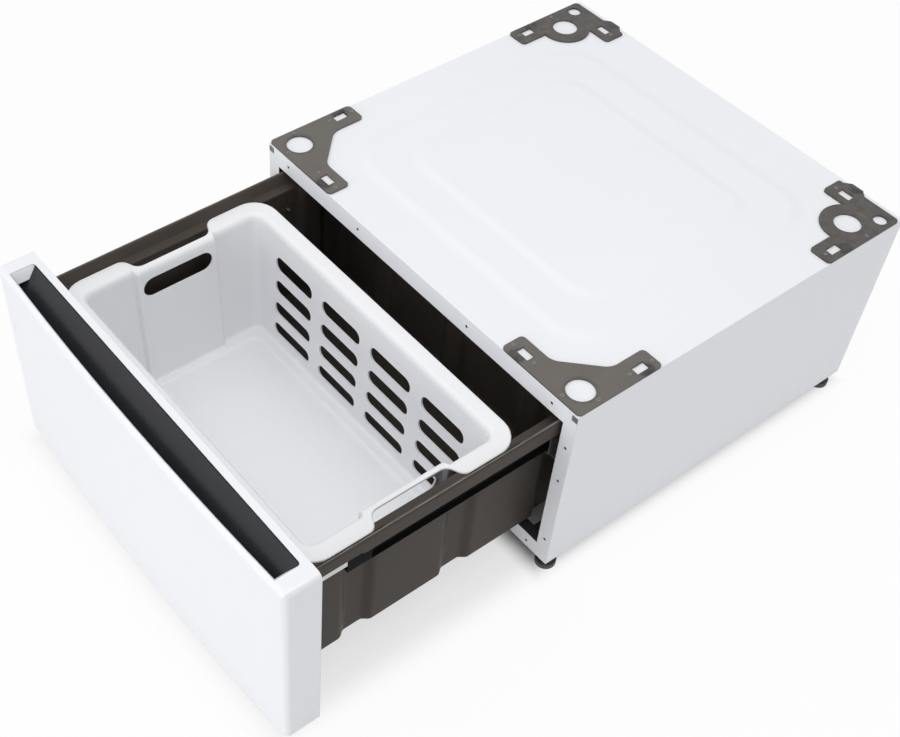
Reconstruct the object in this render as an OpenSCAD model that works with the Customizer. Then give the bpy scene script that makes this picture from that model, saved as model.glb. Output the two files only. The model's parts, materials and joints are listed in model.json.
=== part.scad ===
// Laundry pedestal: a sheet steel cabinet on levelling feet, with one deep drawer
// that runs on ball slides and holds a lift-out basket. The drawer is shown drawn out.
// Origin: on the floor, midway between the four feet. +Z is up and the drawer opens to -Y.

/* [Cabinet] */
// Width over the two side panels
cabinet_w = 686; // [640:1:740]
// Depth from the front flange to the rear edge
cabinet_d = 650; // [620:1:720]
// Height of the top sheet above the floor
deck_h = 353; // [345:1:400]
// Gap between the floor and the side panels
skirt_gap = 26; // [22:1:32]
// Thickness of the cabinet's sheet steel
sheet = 1.2; // [0.8:0.1:1.5]
// Width of the jamb beside the drawer opening
jamb_w = 24; // [21:1:28]
// Height of the header above the drawer opening
header_h = 31; // [24:1:36]
// Height of the sill below the drawer opening
sill_h = 28; // [22:1:34]
// Width of the folds that join the panels
fold_w = 18; // [14:1:20]
// Depth of the header's and the sill's horizontal returns
return_d = 34; // [24:1:40]
// Height of the rear rail
rear_sill_h = 40; // [30:1:50]
// Gap between the back panel and the top sheet
back_gap = 3; // [2:1:8]

/* [Stamped top] */
// Height of each stamped field above the sheet around it
stamp_step = 2; // [1.5:0.1:2.4]
// Width of the outer stamped field
outer_field_w = 492; // [440:1:510]
// Depth of the outer stamped field
outer_field_d = 450; // [420:1:460]
// How far the fields lie in front of the cabinet's middle
field_shift = 6; // [0:1:12]
// Corner radius of the outer field
outer_field_r = 52; // [30:1:80]
// Width of the inner stamped field
inner_field_w = 372; // [320:1:390]
// Depth of the inner stamped field
inner_field_d = 313; // [280:1:330]
// Corner radius of the inner field
inner_field_r = 30; // [20:1:60]

/* [Corner brackets] */
// Thickness of the brackets
bracket_t = 3; // [2:0.1:4]
// Length of a front bracket's arms along both edges
front_arm_l = 152; // [145:1:165]
// Width of a bracket's arms
arm_w = 38; // [34:1:44]
// Corner radius at the end of an arm
arm_tip_r = 7; // [3:0.5:9]
// Radius of the socket that takes an appliance foot
socket_r = 20.4; // [16:0.1:22]
// Distance from the side and front edges to a front socket
front_socket_inset = 33; // [30:0.5:36]
// Length along Y of a rear bracket
rear_arm_l = 155; // [150:1:165]
// Length along X of a rear bracket
rear_cross_l = 113; // [108:1:120]
// Distance from the cabinet's rear edge to a rear bracket
rear_bracket_gap = 9; // [8:0.5:14]
// Distance from the side edge to a rear socket
rear_socket_inset_x = 42; // [40:0.5:46]
// Distance from the cabinet's rear edge to a rear socket
rear_socket_inset_y = 75; // [72:0.5:80]
// Radius of a rear bracket's lobe around its socket
lobe_r = 41; // [34:0.5:44]
// Radius of a rear bracket's small bolt hole
bolt_hole_r = 10.4; // [6:0.1:11]
// Distance from the side edge to the bolt hole
bolt_inset_x = 18; // [16:0.5:20]
// Distance from the cabinet's rear edge to the bolt hole
bolt_inset_y = 31; // [29:0.5:33]
// Length of the rectangular windows
window_l = 22; // [18:0.5:26]
// Width of the rectangular windows
window_w = 13; // [10:0.5:15]

/* [Drawer] */
// Length of the tub that stays in the cabinet when the drawer is drawn out
drawer_hold = 106; // [100:1:190]
// Gap between the closed front and the cabinet
front_gap = 3; // [2:0.5:6]
// Thickness of the drawer front at its ends
front_t = 55.5; // [50:0.5:62]
// Rise of the bowed front's middle over its ends
front_bow = 9.5; // [4:0.5:14]
// Height of the front above the top sheet
front_rise = 1.5; // [0:0.5:3]
// Gap between the floor and the front
front_floor_gap = 18; // [12:1:22]
// Thickness of the front's sheet steel
front_sheet = 1; // [0.8:0.1:1.4]
// Radius of the front's upright and top edges
front_edge_r = 9; // [5:0.5:12]
// Length of the pull recess
pull_l = 632; // [580:1:640]
// Width of the lip between the pull recess and the bowed face
pull_lip_w = 7; // [5:0.5:10]
// Depth of the pull recess
pull_d = 29; // [24:1:31]
// Wall of the pull recess's insert
pull_wall = 2.5; // [2:0.1:3]
// Length of the tub
tub_len = 516; // [500:1:530]
// Thickness of the tub's sheet steel
tub_t = 1.2; // [0.8:0.1:1.4]
// Gap between the tub's rim and the jamb
tub_side_gap = 6.5; // [5:0.5:9]
// Gap between the tub's rim and the header
tub_head_gap = 6; // [4:0.5:8]
// Gap between the tub's floor and the top of the sill
tub_sill_gap = 17; // [10:1:20]
// Distance that the rim stands out over the tub's wall
rim_reach = 22.5; // [21:0.5:24]
// Drop from the rim to the ledge that carries the basket
ledge_drop = 17; // [14:0.5:19]
// Height of the rim's outer lip
lip_h = 25; // [20:0.5:26]
// Depth of the flutes pressed into the tub's walls
flute_d = 8; // [5:0.5:9]
// Distance between the flutes
flute_pitch = 174; // [150:1:185]
// Width of a flute at its mouth
flute_w = 56; // [44:1:60]

/* [Slides] */
// Height of the cabinet members
slide_h = 52; // [48:1:54]
// Width of the gap between tub wall and slide mount
slide_w = 13; // [12.7:0.1:13.5]
// Thickness of the slide members
slide_t = 1.3; // [1:0.1:1.4]
// Radius of the balls
ball_r = 2.5; // [2.2:0.1:2.6]
// Clearance between a ball and its tracks
ball_gap = 0.3; // [0.25:0.01:0.35]
// Distance between the balls
ball_pitch = 12; // [10:1:16]
// Setback of the members' end clips from the front of the tub
clip_setback = 71; // [55:1:80]

/* [Basket] */
// Thickness of the basket's rim
basket_rim_t = 4; // [3:0.5:5]
// Width of the rim's side flanges
basket_rim_w = 30; // [28:1:34]
// Length of the basket along Y
basket_len = 356; // [340:1:370]
// Thickness of the basket's walls
basket_wall = 3; // [2.5:0.1:3.5]
// Lean of the walls, as a fall in width for each unit of height
basket_draft_share = 0.04; // [0.02:0.005:0.05]
// Length of the grip recess in the side rims
grip_l = 124; // [110:1:135]
// Depth of the grip recess in the side rims
grip_d = 26; // [18:1:27]
// Length of the walls' inward bumps behind the grips
bump_l = 135; // [125:1:140]
// Depth of those bumps
bump_d = 8; // [6:0.5:11]
// Length of the hand holes
hand_hole_l = 120; // [95:1:122]
// Height of the hand holes
hand_hole_h = 34; // [22:1:36]
// Width of the web between two rows of slots
slot_web = 19.2; // [12:0.1:22]
// Distance between the columns of slots
slot_col_pitch = 116; // [108:1:118]
// Length of the slots
slot_l = 91; // [60:1:96]
// Height of the top row's slots
slot_h = 28; // [22:0.5:29]
// Corner radius of the slots as a share of their height
slot_round_share = 0.45; // [0.3:0.01:0.49]

/* [Feet] */
// Distance from the side edges to the feet
foot_inset_x = 17; // [17:0.5:19]
// Distance from the front and rear edges to the feet
foot_inset_y = 19.5; // [18:0.5:22]
// Radius of a foot's pad
foot_pad_r = 16; // [14:0.5:16]
// Thickness of a foot's pad
foot_pad_h = 9; // [6:0.5:12]
// Radius of a foot's stud
stud_r = 5; // [4:0.1:5.5]
// Radial clearance between stud and nut
stud_gap = 0.06; // [0.03:0.01:0.09]

/* [Hidden] */
$fn = 48;

// One overrun for every cut
over = 5;
// Clearance of a screw, rivet or stud in its hole
hole_gap = 0.1;
// Space kept between parts that pass each other
pass_gap = 0.4;
// Steps in each rounded corner of an outline
corner_steps = 6;

// Cabinet places
side_x = cabinet_w / 2;
front_y = -cabinet_d / 2;
rear_y = cabinet_d / 2;
open_x = side_x - jamb_w;
open_top = deck_h - header_h;
open_low = skirt_gap + sill_h;
side_in_x = side_x - sheet;
field_y = -field_shift;

// Holes pressed in the flanges round the opening
flange_hole_r = 2.4;
header_hole_x1 = 122;
header_hole_x2 = 294;
header_hole_drop = 15.5;
jamb_hole_inset = 11.5;
jamb_hole_drop1 = 72;
jamb_hole_drop2 = 142;
jamb_hole_drop3 = 277;
sill_hole_inset = 44;
sill_hole_rise = 11;

// Corner plugs
plug_w = 10;
plug_h = 9;
plug_proud = 0.8;
plug_drop = 4;
plug_inset = 1;

// Bracket places
window_inset = 15;
front_window_from_corner = 124;
rear_window_inset = 16.5;
rear_side_window_inset_y = 136;
rear_cross_window_inset_x = 85;
rear_cross_window_inset_y = 28;
shoulder_in = 14;
fillet_r = 26;
bulge_d = 9;
bulge_l = 40;
bulge_from_tip = 8;
rivet_r = 1.5;
rivet_head_r = 2.6;
rivet_head_h = 0.8;
front_rivet_end1 = 6;
front_rivet_end2 = 48;
front_rivet_inset = 16;
rear_rivet_end = 10;

// Drawer places
drawer_open = tub_len - front_gap - drawer_hold;
front_back_y = front_y - front_gap - drawer_open;
front_end_y = front_back_y - front_t;
front_mid_y = front_end_y - front_bow;
bow_r = (side_x * side_x + front_bow * front_bow) / (2 * front_bow);
bow_axis_y = front_mid_y + bow_r;
front_top = deck_h + front_rise;
tub_front_y = front_back_y;
tub_rear_y = tub_front_y + tub_len;
lip_x = open_x - tub_side_gap;
tub_x = lip_x - rim_reach;
tub_low = open_low + tub_sill_gap;
rim_top = open_top - tub_head_gap;
ledge_top = rim_top - ledge_drop;
rim_flat_w = 4;
rim_slope_x1 = lip_x - rim_flat_w;
ledge_out_x = lip_x - rim_reach / 2;
tub_corner_r = 14;
flute_margin = 20;
flute_shift = 15;
flute_mid_y = tub_front_y + tub_len / 2 + flute_shift;
side_flutes = 1 + floor((tub_len - 2 * (flute_margin + flute_shift) - flute_w) / flute_pitch);
rear_flutes = 1 + floor((2 * (tub_x - flute_margin) - flute_w) / flute_pitch);

// Pull recess places
pull_back_y = front_back_y - front_edge_r - 2 * front_sheet;
pull_end_r = 5;
pull_mouth_r = 5.5;
pull_floor_w = 2;
pull_lip_h = 4;
pull_cheek = 10;
pull_cheek_drop = 15;
inner_panel_inset = 0.3;

// Slide places
slide_drop = 9.2;
slide_z = ledge_top - tub_t - slide_drop - slide_h / 2;
slide_setback = 1.8;
outer_slide_y0 = front_y + sheet + slide_setback;
outer_slide_y1 = outer_slide_y0 + tub_len;
clip_y0 = tub_front_y + clip_setback;
clip_l = 40;
inner_slide_y0 = clip_y0 + clip_l;
inner_slide_y1 = tub_rear_y;
inner_slide_h = slide_h - 2 * slide_t - 4 * ball_r - 4 * ball_gap;
ball_v = inner_slide_h / 2 + ball_gap + ball_r;
ball_shift = 0.5;
ball_u = slide_w / 2 + ball_shift;
race_gap = 2;
cage_margin = 3.5;
cage_y0 = outer_slide_y0 + cage_margin;
cage_y1 = inner_slide_y1 - cage_margin;
cage_t = 0.8;
cage_lip = 3.2;
ball_count = floor((cage_y1 - cage_y0) / ball_pitch);
mount_plate_h = 30;
mount_t = 1.5;
mount_rise = 4;
mount_low = slide_z - slide_h / 2 + mount_rise;
clip_x = slide_w - slide_t - pass_gap;
clip_h = 30;
tie_h = 14.5;
tie_t = 1.5;
rivet_head_w = 1.2;

// Basket places
basket_side_gap = 1.2;
basket_front_gap = 6;
basket_rim_x = ledge_out_x - basket_side_gap;
basket_y0 = tub_front_y + basket_front_gap;
basket_y1 = basket_y0 + basket_len;
basket_mid_y = (basket_y0 + basket_y1) / 2;
basket_top = ledge_top + basket_rim_t;
basket_floor_gap = 1.8;
basket_low = tub_low + tub_t + basket_floor_gap;
basket_corner_r = 40;
basket_mouth_r = 14;
basket_end_rim = 27;
basket_in_x = basket_rim_x - basket_rim_w;
grip_shift = 5;
grip_mid_y = basket_mid_y + grip_shift;
grip_slope = 11;
grip_r = 8;
bump_shift = 1.5;
bump_mid_y = basket_mid_y + bump_shift;
bump_slope = 4;
hand_hole_drop = 37;
slot_first_drop = 60.5;
slot_row_share = 0.937;
slot_rows = 4;
slot_cols = 4;

// Feet places
foot_x = side_x - foot_inset_x;
foot_y = cabinet_d / 2 - foot_inset_y;
foot_plate_t = 3;
foot_plate_l = 60;
foot_hex_r = 10;
foot_hex_h = 7;
nut_r = 9.5;
nut_h = 8;
stud_spare = 22;

// Fixings
screw_r = 2.1;
screw_head_r = 4.2;
screw_head_h = 2.2;
screw_l = 8;
front_screw_x = 240;
front_screw_rise = 30;
front_screw_rows = 2;
front_screw_row_pitch = 150;
bumper_r = 8;
bumper_x = side_x - jamb_w / 2;
bumper_drop = 21;
bumper_low = skirt_gap + sill_h;
bumper_high = open_top - bumper_drop;
bumper_h = front_gap - pass_gap;

// Points of an arc that rounds corner b of the path a, b, c
function corner_points(a, b, c, r) =
    r <= 0 ? [b] :
    let (
        u = (a - b) / norm(a - b),
        v = (c - b) / norm(c - b),
        half = acos(max(-1, min(1, u * v))) / 2,
        o = b + (u + v) / norm(u + v) * r / sin(half),
        p = b + u * r / tan(half) - o,
        q = b + v * r / tan(half) - o,
        start = atan2(p[1], p[0]),
        turn = atan2(q[1], q[0]) - start,
        sweep = turn > 180 ? turn - 360 : turn < -180 ? turn + 360 : turn
    )
    [for (i = [0:corner_steps])
        o + r * [cos(start + sweep * i / corner_steps), sin(start + sweep * i / corner_steps)]];

// A closed path of [x, y, corner radius] turned into the points of its rounded outline
function rounded(path) =
    let (n = len(path))
    [for (i = [0:n - 1]) each corner_points(
        [path[(i + n - 1) % n][0], path[(i + n - 1) % n][1]],
        [path[i][0], path[i][1]],
        [path[(i + 1) % n][0], path[(i + 1) % n][1]],
        path[i][2])];

// Path of a rectangle between two corners with one corner radius
function box_path(x0, y0, x1, y1, r) = [[x0, y0, r], [x1, y0, r], [x1, y1, r], [x0, y1, r]];

module rounded_box(x0, y0, x1, y1, r, z0, z1) {
    translate([0, 0, z0])
        linear_extrude(height = z1 - z0)
            polygon(rounded(box_path(x0, y0, x1, y1, r)));
}

module block(x0, y0, z0, x1, y1, z1) {
    translate([x0, y0, z0])
        cube([x1 - x0, y1 - y0, z1 - z0]);
}

module both_sides() {
    children();
    mirror([1, 0, 0]) children();
}

module left_copy() {
    mirror([1, 0, 0]) children();
}

// A pin along Z, Y or X
module pin_z(x, y, z0, z1, r) {
    translate([x, y, z0]) cylinder(r = r, h = z1 - z0);
}

module pin_y(x, z, y0, y1, r) {
    translate([x, y0, z]) rotate([-90, 0, 0]) cylinder(r = r, h = y1 - y0);
}

module pin_x(y, z, x0, x1, r) {
    translate([x0, y, z]) rotate([0, 90, 0]) cylinder(r = r, h = x1 - x0);
}

// Cabinet

module header_holes() {
    for (x = [header_hole_x1, header_hole_x2])
        both_sides()
            pin_y(x, deck_h - header_hole_drop, front_y - over, front_y + sheet + over, flange_hole_r);
}

module field_slab(w, d, r, shrink, z0, z1) {
    rounded_box(-w / 2 + shrink, field_y - d / 2 + shrink, w / 2 - shrink, field_y + d / 2 - shrink,
        r - shrink, z0, z1);
}

module top_panel() {
    color("whitesmoke")
    difference() {
        union() {
            block(-side_x, front_y, deck_h - sheet, side_x, rear_y, deck_h);
            field_slab(outer_field_w, outer_field_d, outer_field_r, 0, deck_h - sheet,
                deck_h + stamp_step);
            field_slab(inner_field_w, inner_field_d, inner_field_r, 0, deck_h,
                deck_h + 2 * stamp_step);
            block(-side_x, front_y, open_top, side_x, front_y + sheet, deck_h);
            block(-open_x, front_y, open_top, open_x, front_y + return_d, open_top + sheet);
            block(-side_x + fold_w, rear_y - sheet, deck_h - fold_w, side_x - fold_w, rear_y, deck_h);
        }
        field_slab(outer_field_w, outer_field_d, outer_field_r, sheet, deck_h - sheet - over,
            deck_h + stamp_step - sheet);
        field_slab(inner_field_w, inner_field_d, inner_field_r, sheet, deck_h,
            deck_h + 2 * stamp_step - sheet);
        header_holes();
        panel_rivet_holes(deck_h - sheet - over, deck_h + over);
    }
}

module side_panel() {
    color("gainsboro")
    difference() {
        union() {
            block(side_in_x, front_y + sheet, skirt_gap, side_x, rear_y, deck_h - sheet);
            block(open_x, front_y, skirt_gap, side_x, front_y + sheet, open_top);
            block(side_x - fold_w, front_y + sheet, deck_h - 2 * sheet, side_x, rear_y,
                deck_h - sheet);
            block(side_x - fold_w, rear_y - sheet, skirt_gap, side_x, rear_y, deck_h - sheet);
            block(side_x - fold_w, front_y, skirt_gap, side_x, rear_y, skirt_gap + sheet);
        }
        for (drop = [jamb_hole_drop1, jamb_hole_drop2, jamb_hole_drop3])
            pin_y(side_x - jamb_hole_inset, deck_h - drop, front_y - over, front_y + sheet + over,
                flange_hole_r);
        back_screw_holes(screw_r + hole_gap);
        panel_rivet_holes(deck_h - 2 * sheet - over, deck_h + over);
        side_foot_holes();
    }
}

module side_foot_holes() {
    for (y = [-foot_y, foot_y])
        pin_z(foot_x, y, skirt_gap - over, skirt_gap + sheet + over, stud_r + pass_gap);
}

module right_side_panel() {
    side_panel();
}

module left_side_panel() {
    left_copy() side_panel();
}

// Back panel, inside the side panels' rear folds
back_out_y = rear_y - sheet;
back_screw_rows = 4;

function back_screw_z(i) = skirt_gap + rear_sill_h + (i + 0.5)
    * (deck_h - fold_w - skirt_gap - rear_sill_h) / back_screw_rows;

module back_screw_holes(r) {
    for (i = [0:back_screw_rows - 1])
        pin_y(side_x - fold_w / 2, back_screw_z(i), rear_y - 2 * sheet - over, rear_y + over, r);
}

module back_panel() {
    color("silver")
    difference() {
        block(-side_in_x, back_out_y - sheet, skirt_gap + sheet, side_in_x, back_out_y,
            deck_h - 2 * sheet - back_gap);
        both_sides() back_screw_holes(screw_r + hole_gap);
    }
}

module panel_screws() {
    color("dimgray")
    both_sides()
    for (i = [0:back_screw_rows - 1]) {
        pin_y(side_x - fold_w / 2, back_screw_z(i), rear_y - screw_l, rear_y, screw_r);
        pin_y(side_x - fold_w / 2, back_screw_z(i), rear_y, rear_y + screw_head_h, screw_head_r);
    }
}

module sill(y0, y1, h, out) {
    difference() {
        union() {
            block(-open_x, y0, skirt_gap, open_x, y1, skirt_gap + sheet);
            block(-open_x, out, skirt_gap, open_x, out + sheet, skirt_gap + h);
        }
        for (x = [-foot_x, foot_x])
            for (y = [-foot_y, foot_y])
                pin_z(x, y, skirt_gap - over, skirt_gap + sheet + over, stud_r + pass_gap);
    }
}

module front_sill() {
    color("whitesmoke")
    difference() {
        union() {
            sill(front_y, front_y + return_d, sill_h, front_y);
            block(-open_x, front_y, open_low - sheet, open_x, front_y + return_d / 2, open_low);
        }
        both_sides()
            pin_y(side_x - sill_hole_inset, skirt_gap + sill_hole_rise, front_y - over,
                front_y + sheet + over, flange_hole_r);
    }
}

module rear_sill() {
    color("gainsboro")
        sill(back_out_y - sheet - return_d, back_out_y - sheet, rear_sill_h,
            back_out_y - 2 * sheet);
}

// Corner plates tie the sills to the side panels and carry the feet
module foot_plate() {
    difference() {
        block(side_in_x - foot_plate_l, foot_y + foot_inset_y - foot_plate_l - 3 * sheet,
            skirt_gap + sheet, side_in_x, foot_y + foot_inset_y - 3 * sheet,
            skirt_gap + sheet + foot_plate_t);
        pin_z(foot_x, foot_y, skirt_gap - over, skirt_gap + sheet + foot_plate_t + over,
            stud_r + pass_gap);
    }
}

module four_corners() {
    both_sides() {
        children();
        mirror([0, 1, 0]) children();
    }
}

module foot_plates() {
    color("silver") four_corners() foot_plate();
}

nut_low = skirt_gap + sheet + foot_plate_t;

module foot_nuts() {
    color("darkgray")
    four_corners()
    difference() {
        translate([foot_x, foot_y, nut_low]) cylinder(r = nut_r, h = nut_h, $fn = 6);
        pin_z(foot_x, foot_y, nut_low - over, nut_low + nut_h + over, stud_r + stud_gap);
    }
}

// Corner brackets, drawn for the right-hand side

front_corner_y = front_y;
rear_corner_y = rear_y - rear_bracket_gap;

function front_bracket_path() = [
    [side_x, front_corner_y, arm_tip_r],
    [side_x, front_corner_y + front_arm_l, arm_tip_r],
    [side_x - arm_w, front_corner_y + front_arm_l, arm_tip_r],
    [side_x - arm_w, front_corner_y + arm_w + shoulder_in * 4, fillet_r],
    [side_x - arm_w - shoulder_in * 4, front_corner_y + arm_w, fillet_r],
    [side_x - front_arm_l, front_corner_y + arm_w, arm_tip_r],
    [side_x - front_arm_l, front_corner_y, arm_tip_r]
];

function rear_bracket_path() = [
    [side_x, rear_corner_y, arm_tip_r],
    [side_x - rear_cross_l + bulge_from_tip + bulge_l, rear_corner_y, 0],
    [side_x - rear_cross_l + bulge_from_tip + bulge_l * 3 / 4, rear_corner_y + bulge_d, 0],
    [side_x - rear_cross_l + bulge_from_tip + bulge_l / 4, rear_corner_y + bulge_d, 0],
    [side_x - rear_cross_l + bulge_from_tip, rear_corner_y, 0],
    [side_x - rear_cross_l, rear_corner_y, arm_tip_r / 2],
    [side_x - rear_cross_l, rear_corner_y - arm_w, arm_tip_r],
    [side_x - arm_w, rear_corner_y - arm_w, 0],
    [side_x - arm_w, rear_corner_y - rear_arm_l, arm_tip_r],
    [side_x, rear_corner_y - rear_arm_l, arm_tip_r]
];

front_socket = [side_x - front_socket_inset, front_y + front_socket_inset];
rear_socket = [side_x - rear_socket_inset_x, rear_y - rear_socket_inset_y];

// Rivet places on the right-hand brackets, front then rear
rivet_places = [
    [side_x - front_arm_l + front_rivet_end1, front_corner_y + front_rivet_inset],
    [side_x - front_arm_l + front_rivet_end2, front_corner_y + front_rivet_inset],
    [side_x - window_inset, front_corner_y + front_arm_l - front_rivet_end1],
    [side_x - window_inset, front_corner_y + front_arm_l - front_rivet_end2],
    [side_x - front_socket_inset - arm_tip_r, front_corner_y + arm_tip_r],
    [side_x - arm_tip_r, front_corner_y + front_socket_inset + arm_tip_r],
    [side_x - rear_window_inset, rear_corner_y - rear_arm_l + rear_rivet_end],
    [side_x - rear_cross_l + rear_rivet_end, rear_corner_y - arm_w / 2],
    [side_x - arm_tip_r, rear_socket[1]]
];

module panel_rivet_holes(z0, z1) {
    both_sides()
    for (p = rivet_places)
        pin_z(p[0], p[1], z0, z1, rivet_r + hole_gap);
}

module window_z(x, y, w, l) {
    block(x - w / 2, y - l / 2, deck_h - over, x + w / 2, y + l / 2, deck_h + bracket_t + over);
}

module front_bracket() {
    color([0.38, 0.36, 0.34])
    difference() {
        translate([0, 0, deck_h])
            linear_extrude(height = bracket_t)
                polygon(rounded(front_bracket_path()));
        pin_z(front_socket[0], front_socket[1], deck_h - over, deck_h + bracket_t + over, socket_r);
        window_z(side_x - window_inset, front_corner_y + front_window_from_corner, window_w, window_l);
        window_z(side_x - front_window_from_corner, front_corner_y + window_inset + bracket_t,
            window_l, window_w);
        panel_rivet_holes(deck_h - over, deck_h + bracket_t + over);
    }
}

module rear_bracket() {
    color([0.34, 0.32, 0.3])
    difference() {
        union() {
            translate([0, 0, deck_h])
                linear_extrude(height = bracket_t)
                    polygon(rounded(rear_bracket_path()));
            pin_z(rear_socket[0], rear_socket[1], deck_h, deck_h + bracket_t, lobe_r);
        }
        pin_z(rear_socket[0], rear_socket[1], deck_h - over, deck_h + bracket_t + over, socket_r);
        pin_z(side_x - bolt_inset_x, rear_y - bolt_inset_y, deck_h - over,
            deck_h + bracket_t + over, bolt_hole_r);
        window_z(side_x - rear_window_inset, rear_y - rear_side_window_inset_y, window_w, window_l);
        window_z(side_x - rear_cross_window_inset_x, rear_y - rear_cross_window_inset_y,
            window_l, window_w);
        panel_rivet_holes(deck_h - over, deck_h + bracket_t + over);
    }
}

module front_right_bracket() {
    front_bracket();
}

module front_left_bracket() {
    left_copy() front_bracket();
}

module rear_right_bracket() {
    rear_bracket();
}

module rear_left_bracket() {
    left_copy() rear_bracket();
}

module bracket_rivets() {
    color("dimgray")
    both_sides()
    for (p = rivet_places) {
        pin_z(p[0], p[1], deck_h - 2 * sheet, deck_h + bracket_t, rivet_r);
        pin_z(p[0], p[1], deck_h + bracket_t, deck_h + bracket_t + rivet_head_h, rivet_head_r);
    }
}

module corner_plugs() {
    color("gray")
    both_sides()
        block(side_x - plug_inset - plug_w, front_y - plug_proud, deck_h - plug_drop - plug_h,
            side_x - plug_inset, front_y, deck_h - plug_drop);
}

// Slides, drawn for the right-hand side. u is measured outwards from the tub's wall.

function u_x(u) = tub_x + u;

module channel(u0, u1, half_h, y0, y1, t, open_out) {
    web = open_out ? [u0, u0 + t] : [u1 - t, u1];
    block(u_x(web[0]), y0, slide_z - half_h, u_x(web[1]), y1, slide_z + half_h);
    block(u_x(u0), y0, slide_z + half_h - t, u_x(u1), y1, slide_z + half_h);
    block(u_x(u0), y0, slide_z - half_h, u_x(u1), y1, slide_z - half_h + t);
}

module outer_slide() {
    color("lightgray")
    difference() {
        channel(race_gap, slide_w, slide_h / 2, outer_slide_y0, outer_slide_y1, slide_t, false);
        slide_rivet_holes();
    }
}

module inner_slide() {
    color([0.12, 0.12, 0.13])
    difference() {
        channel(0, slide_w - slide_t - cage_t - 2 * pass_gap, inner_slide_h / 2, inner_slide_y0,
            inner_slide_y1, slide_t, true);
        slide_screw_holes(screw_r + hole_gap);
    }
}

cage_u1 = slide_w - slide_t - pass_gap;

module ball_cage() {
    color("khaki")
    difference() {
        union() {
            block(u_x(cage_u1 - cage_t), cage_y0, slide_z - ball_v - cage_t / 2, u_x(cage_u1),
                cage_y1, slide_z + ball_v + cage_t / 2);
            for (s = [-1, 1])
                block(u_x(cage_lip), cage_y0, slide_z + s * ball_v - cage_t / 2, u_x(cage_u1),
                    cage_y1, slide_z + s * ball_v + cage_t / 2);
        }
        for (i = [0:ball_count - 1])
            pin_z(u_x(ball_u), ball_y(i), slide_z - slide_h, slide_z + slide_h,
                ball_r + stud_gap);
    }
}

function ball_y(i) = (cage_y0 + cage_y1) / 2 + (i - (ball_count - 1) / 2) * ball_pitch;

module slide_balls() {
    color("silver")
    for (i = [0:ball_count - 1])
        for (s = [-1, 1])
            translate([u_x(ball_u), ball_y(i), slide_z + s * ball_v]) sphere(r = ball_r);
}

// The mount steps out below the rim's lip from the slide to the side panel
module slide_mount() {
    color("silver")
    difference() {
        union() {
            block(u_x(slide_w), outer_slide_y0, mount_low, u_x(slide_w) + mount_t, outer_slide_y1,
                mount_low + mount_plate_h);
            block(u_x(slide_w), outer_slide_y0, mount_low, side_in_x, outer_slide_y1,
                mount_low + mount_t);
            block(side_in_x - mount_t, outer_slide_y0, mount_low, side_in_x, outer_slide_y1,
                mount_low + mount_plate_h);
        }
        slide_rivet_holes();
    }
}

fixing_count = 4;

function slide_rivet_y(i) = outer_slide_y0 + (i + 0.5) * tub_len / fixing_count;

module slide_rivet_holes() {
    for (i = [0:fixing_count - 1])
        pin_x(slide_rivet_y(i), slide_z, u_x(slide_w) - over, u_x(slide_w) + over,
            screw_r + hole_gap);
}

// Rivets that hold the cabinet members on their mounts, flush on the slide's side
module slide_rivets() {
    color("silver")
    both_sides()
    for (i = [0:fixing_count - 1]) {
        pin_x(slide_rivet_y(i), slide_z, u_x(slide_w - slide_t), u_x(slide_w) + mount_t, screw_r);
        pin_x(slide_rivet_y(i), slide_z, u_x(slide_w) + mount_t,
            u_x(slide_w) + mount_t + rivet_head_w, screw_head_r);
    }
}

module slide_screw_holes(r) {
    for (i = [0:fixing_count - 1])
        pin_x(slide_screw_y(i), slide_z, tub_x - tub_t - over, u_x(slide_t) + over, r);
}

function slide_screw_y(i) = flute_mid_y + (i - (fixing_count - 1) / 2) * flute_pitch / 2;

module left_slide_mount() {
    left_copy() slide_mount();
}

module right_slide_mount() {
    slide_mount();
}

module left_outer_slide() {
    left_copy() outer_slide();
}

module right_outer_slide() {
    outer_slide();
}

module left_inner_slide() {
    left_copy() inner_slide();
}

module right_inner_slide() {
    inner_slide();
}

module left_ball_cage() {
    left_copy() ball_cage();
}

module right_ball_cage() {
    ball_cage();
}

module left_slide_balls() {
    left_copy() slide_balls();
}

module right_slide_balls() {
    slide_balls();
}

// Tub: walls with flutes pressed inwards, a floor, a ledge for the basket and a rolled rim

function flute_side(x, inset) = [for (i = [0:side_flutes - 1]) each [
    [x - inset, flute_y(i) - flute_w / 2, 0],
    [x - inset - flute_d, flute_y(i) - flute_w / 4, 0],
    [x - inset - flute_d, flute_y(i) + flute_w / 4, 0],
    [x - inset, flute_y(i) + flute_w / 2, 0]
]];

function flute_y(i) = flute_mid_y + (i - (side_flutes - 1) / 2) * flute_pitch;

function rear_flute_x(i) = (i - (rear_flutes - 1) / 2) * flute_pitch;

function reversed(list) = [for (i = [len(list) - 1:-1:0]) list[i]];

function tub_path(inset) = concat(
    [[tub_x - inset, tub_front_y + inset, tub_corner_r - inset]],
    flute_side(tub_x, inset),
    [[tub_x - inset, tub_rear_y - inset, tub_corner_r - inset]],
    [for (i = [rear_flutes - 1:-1:0]) each [
        [rear_flute_x(i) + flute_w / 2, tub_rear_y - inset, 0],
        [rear_flute_x(i) + flute_w / 4, tub_rear_y - inset - flute_d, 0],
        [rear_flute_x(i) - flute_w / 4, tub_rear_y - inset - flute_d, 0],
        [rear_flute_x(i) - flute_w / 2, tub_rear_y - inset, 0]
    ]],
    [[-tub_x + inset, tub_rear_y - inset, tub_corner_r - inset]],
    [for (p = reversed(flute_side(tub_x, inset))) [-p[0], p[1], p[2]]],
    [[-tub_x + inset, tub_front_y + inset, tub_corner_r - inset]]
);

module tub_slab(inset, z0, z1) {
    translate([0, 0, z0])
        linear_extrude(height = z1 - z0)
            polygon(rounded(tub_path(inset)));
}

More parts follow.
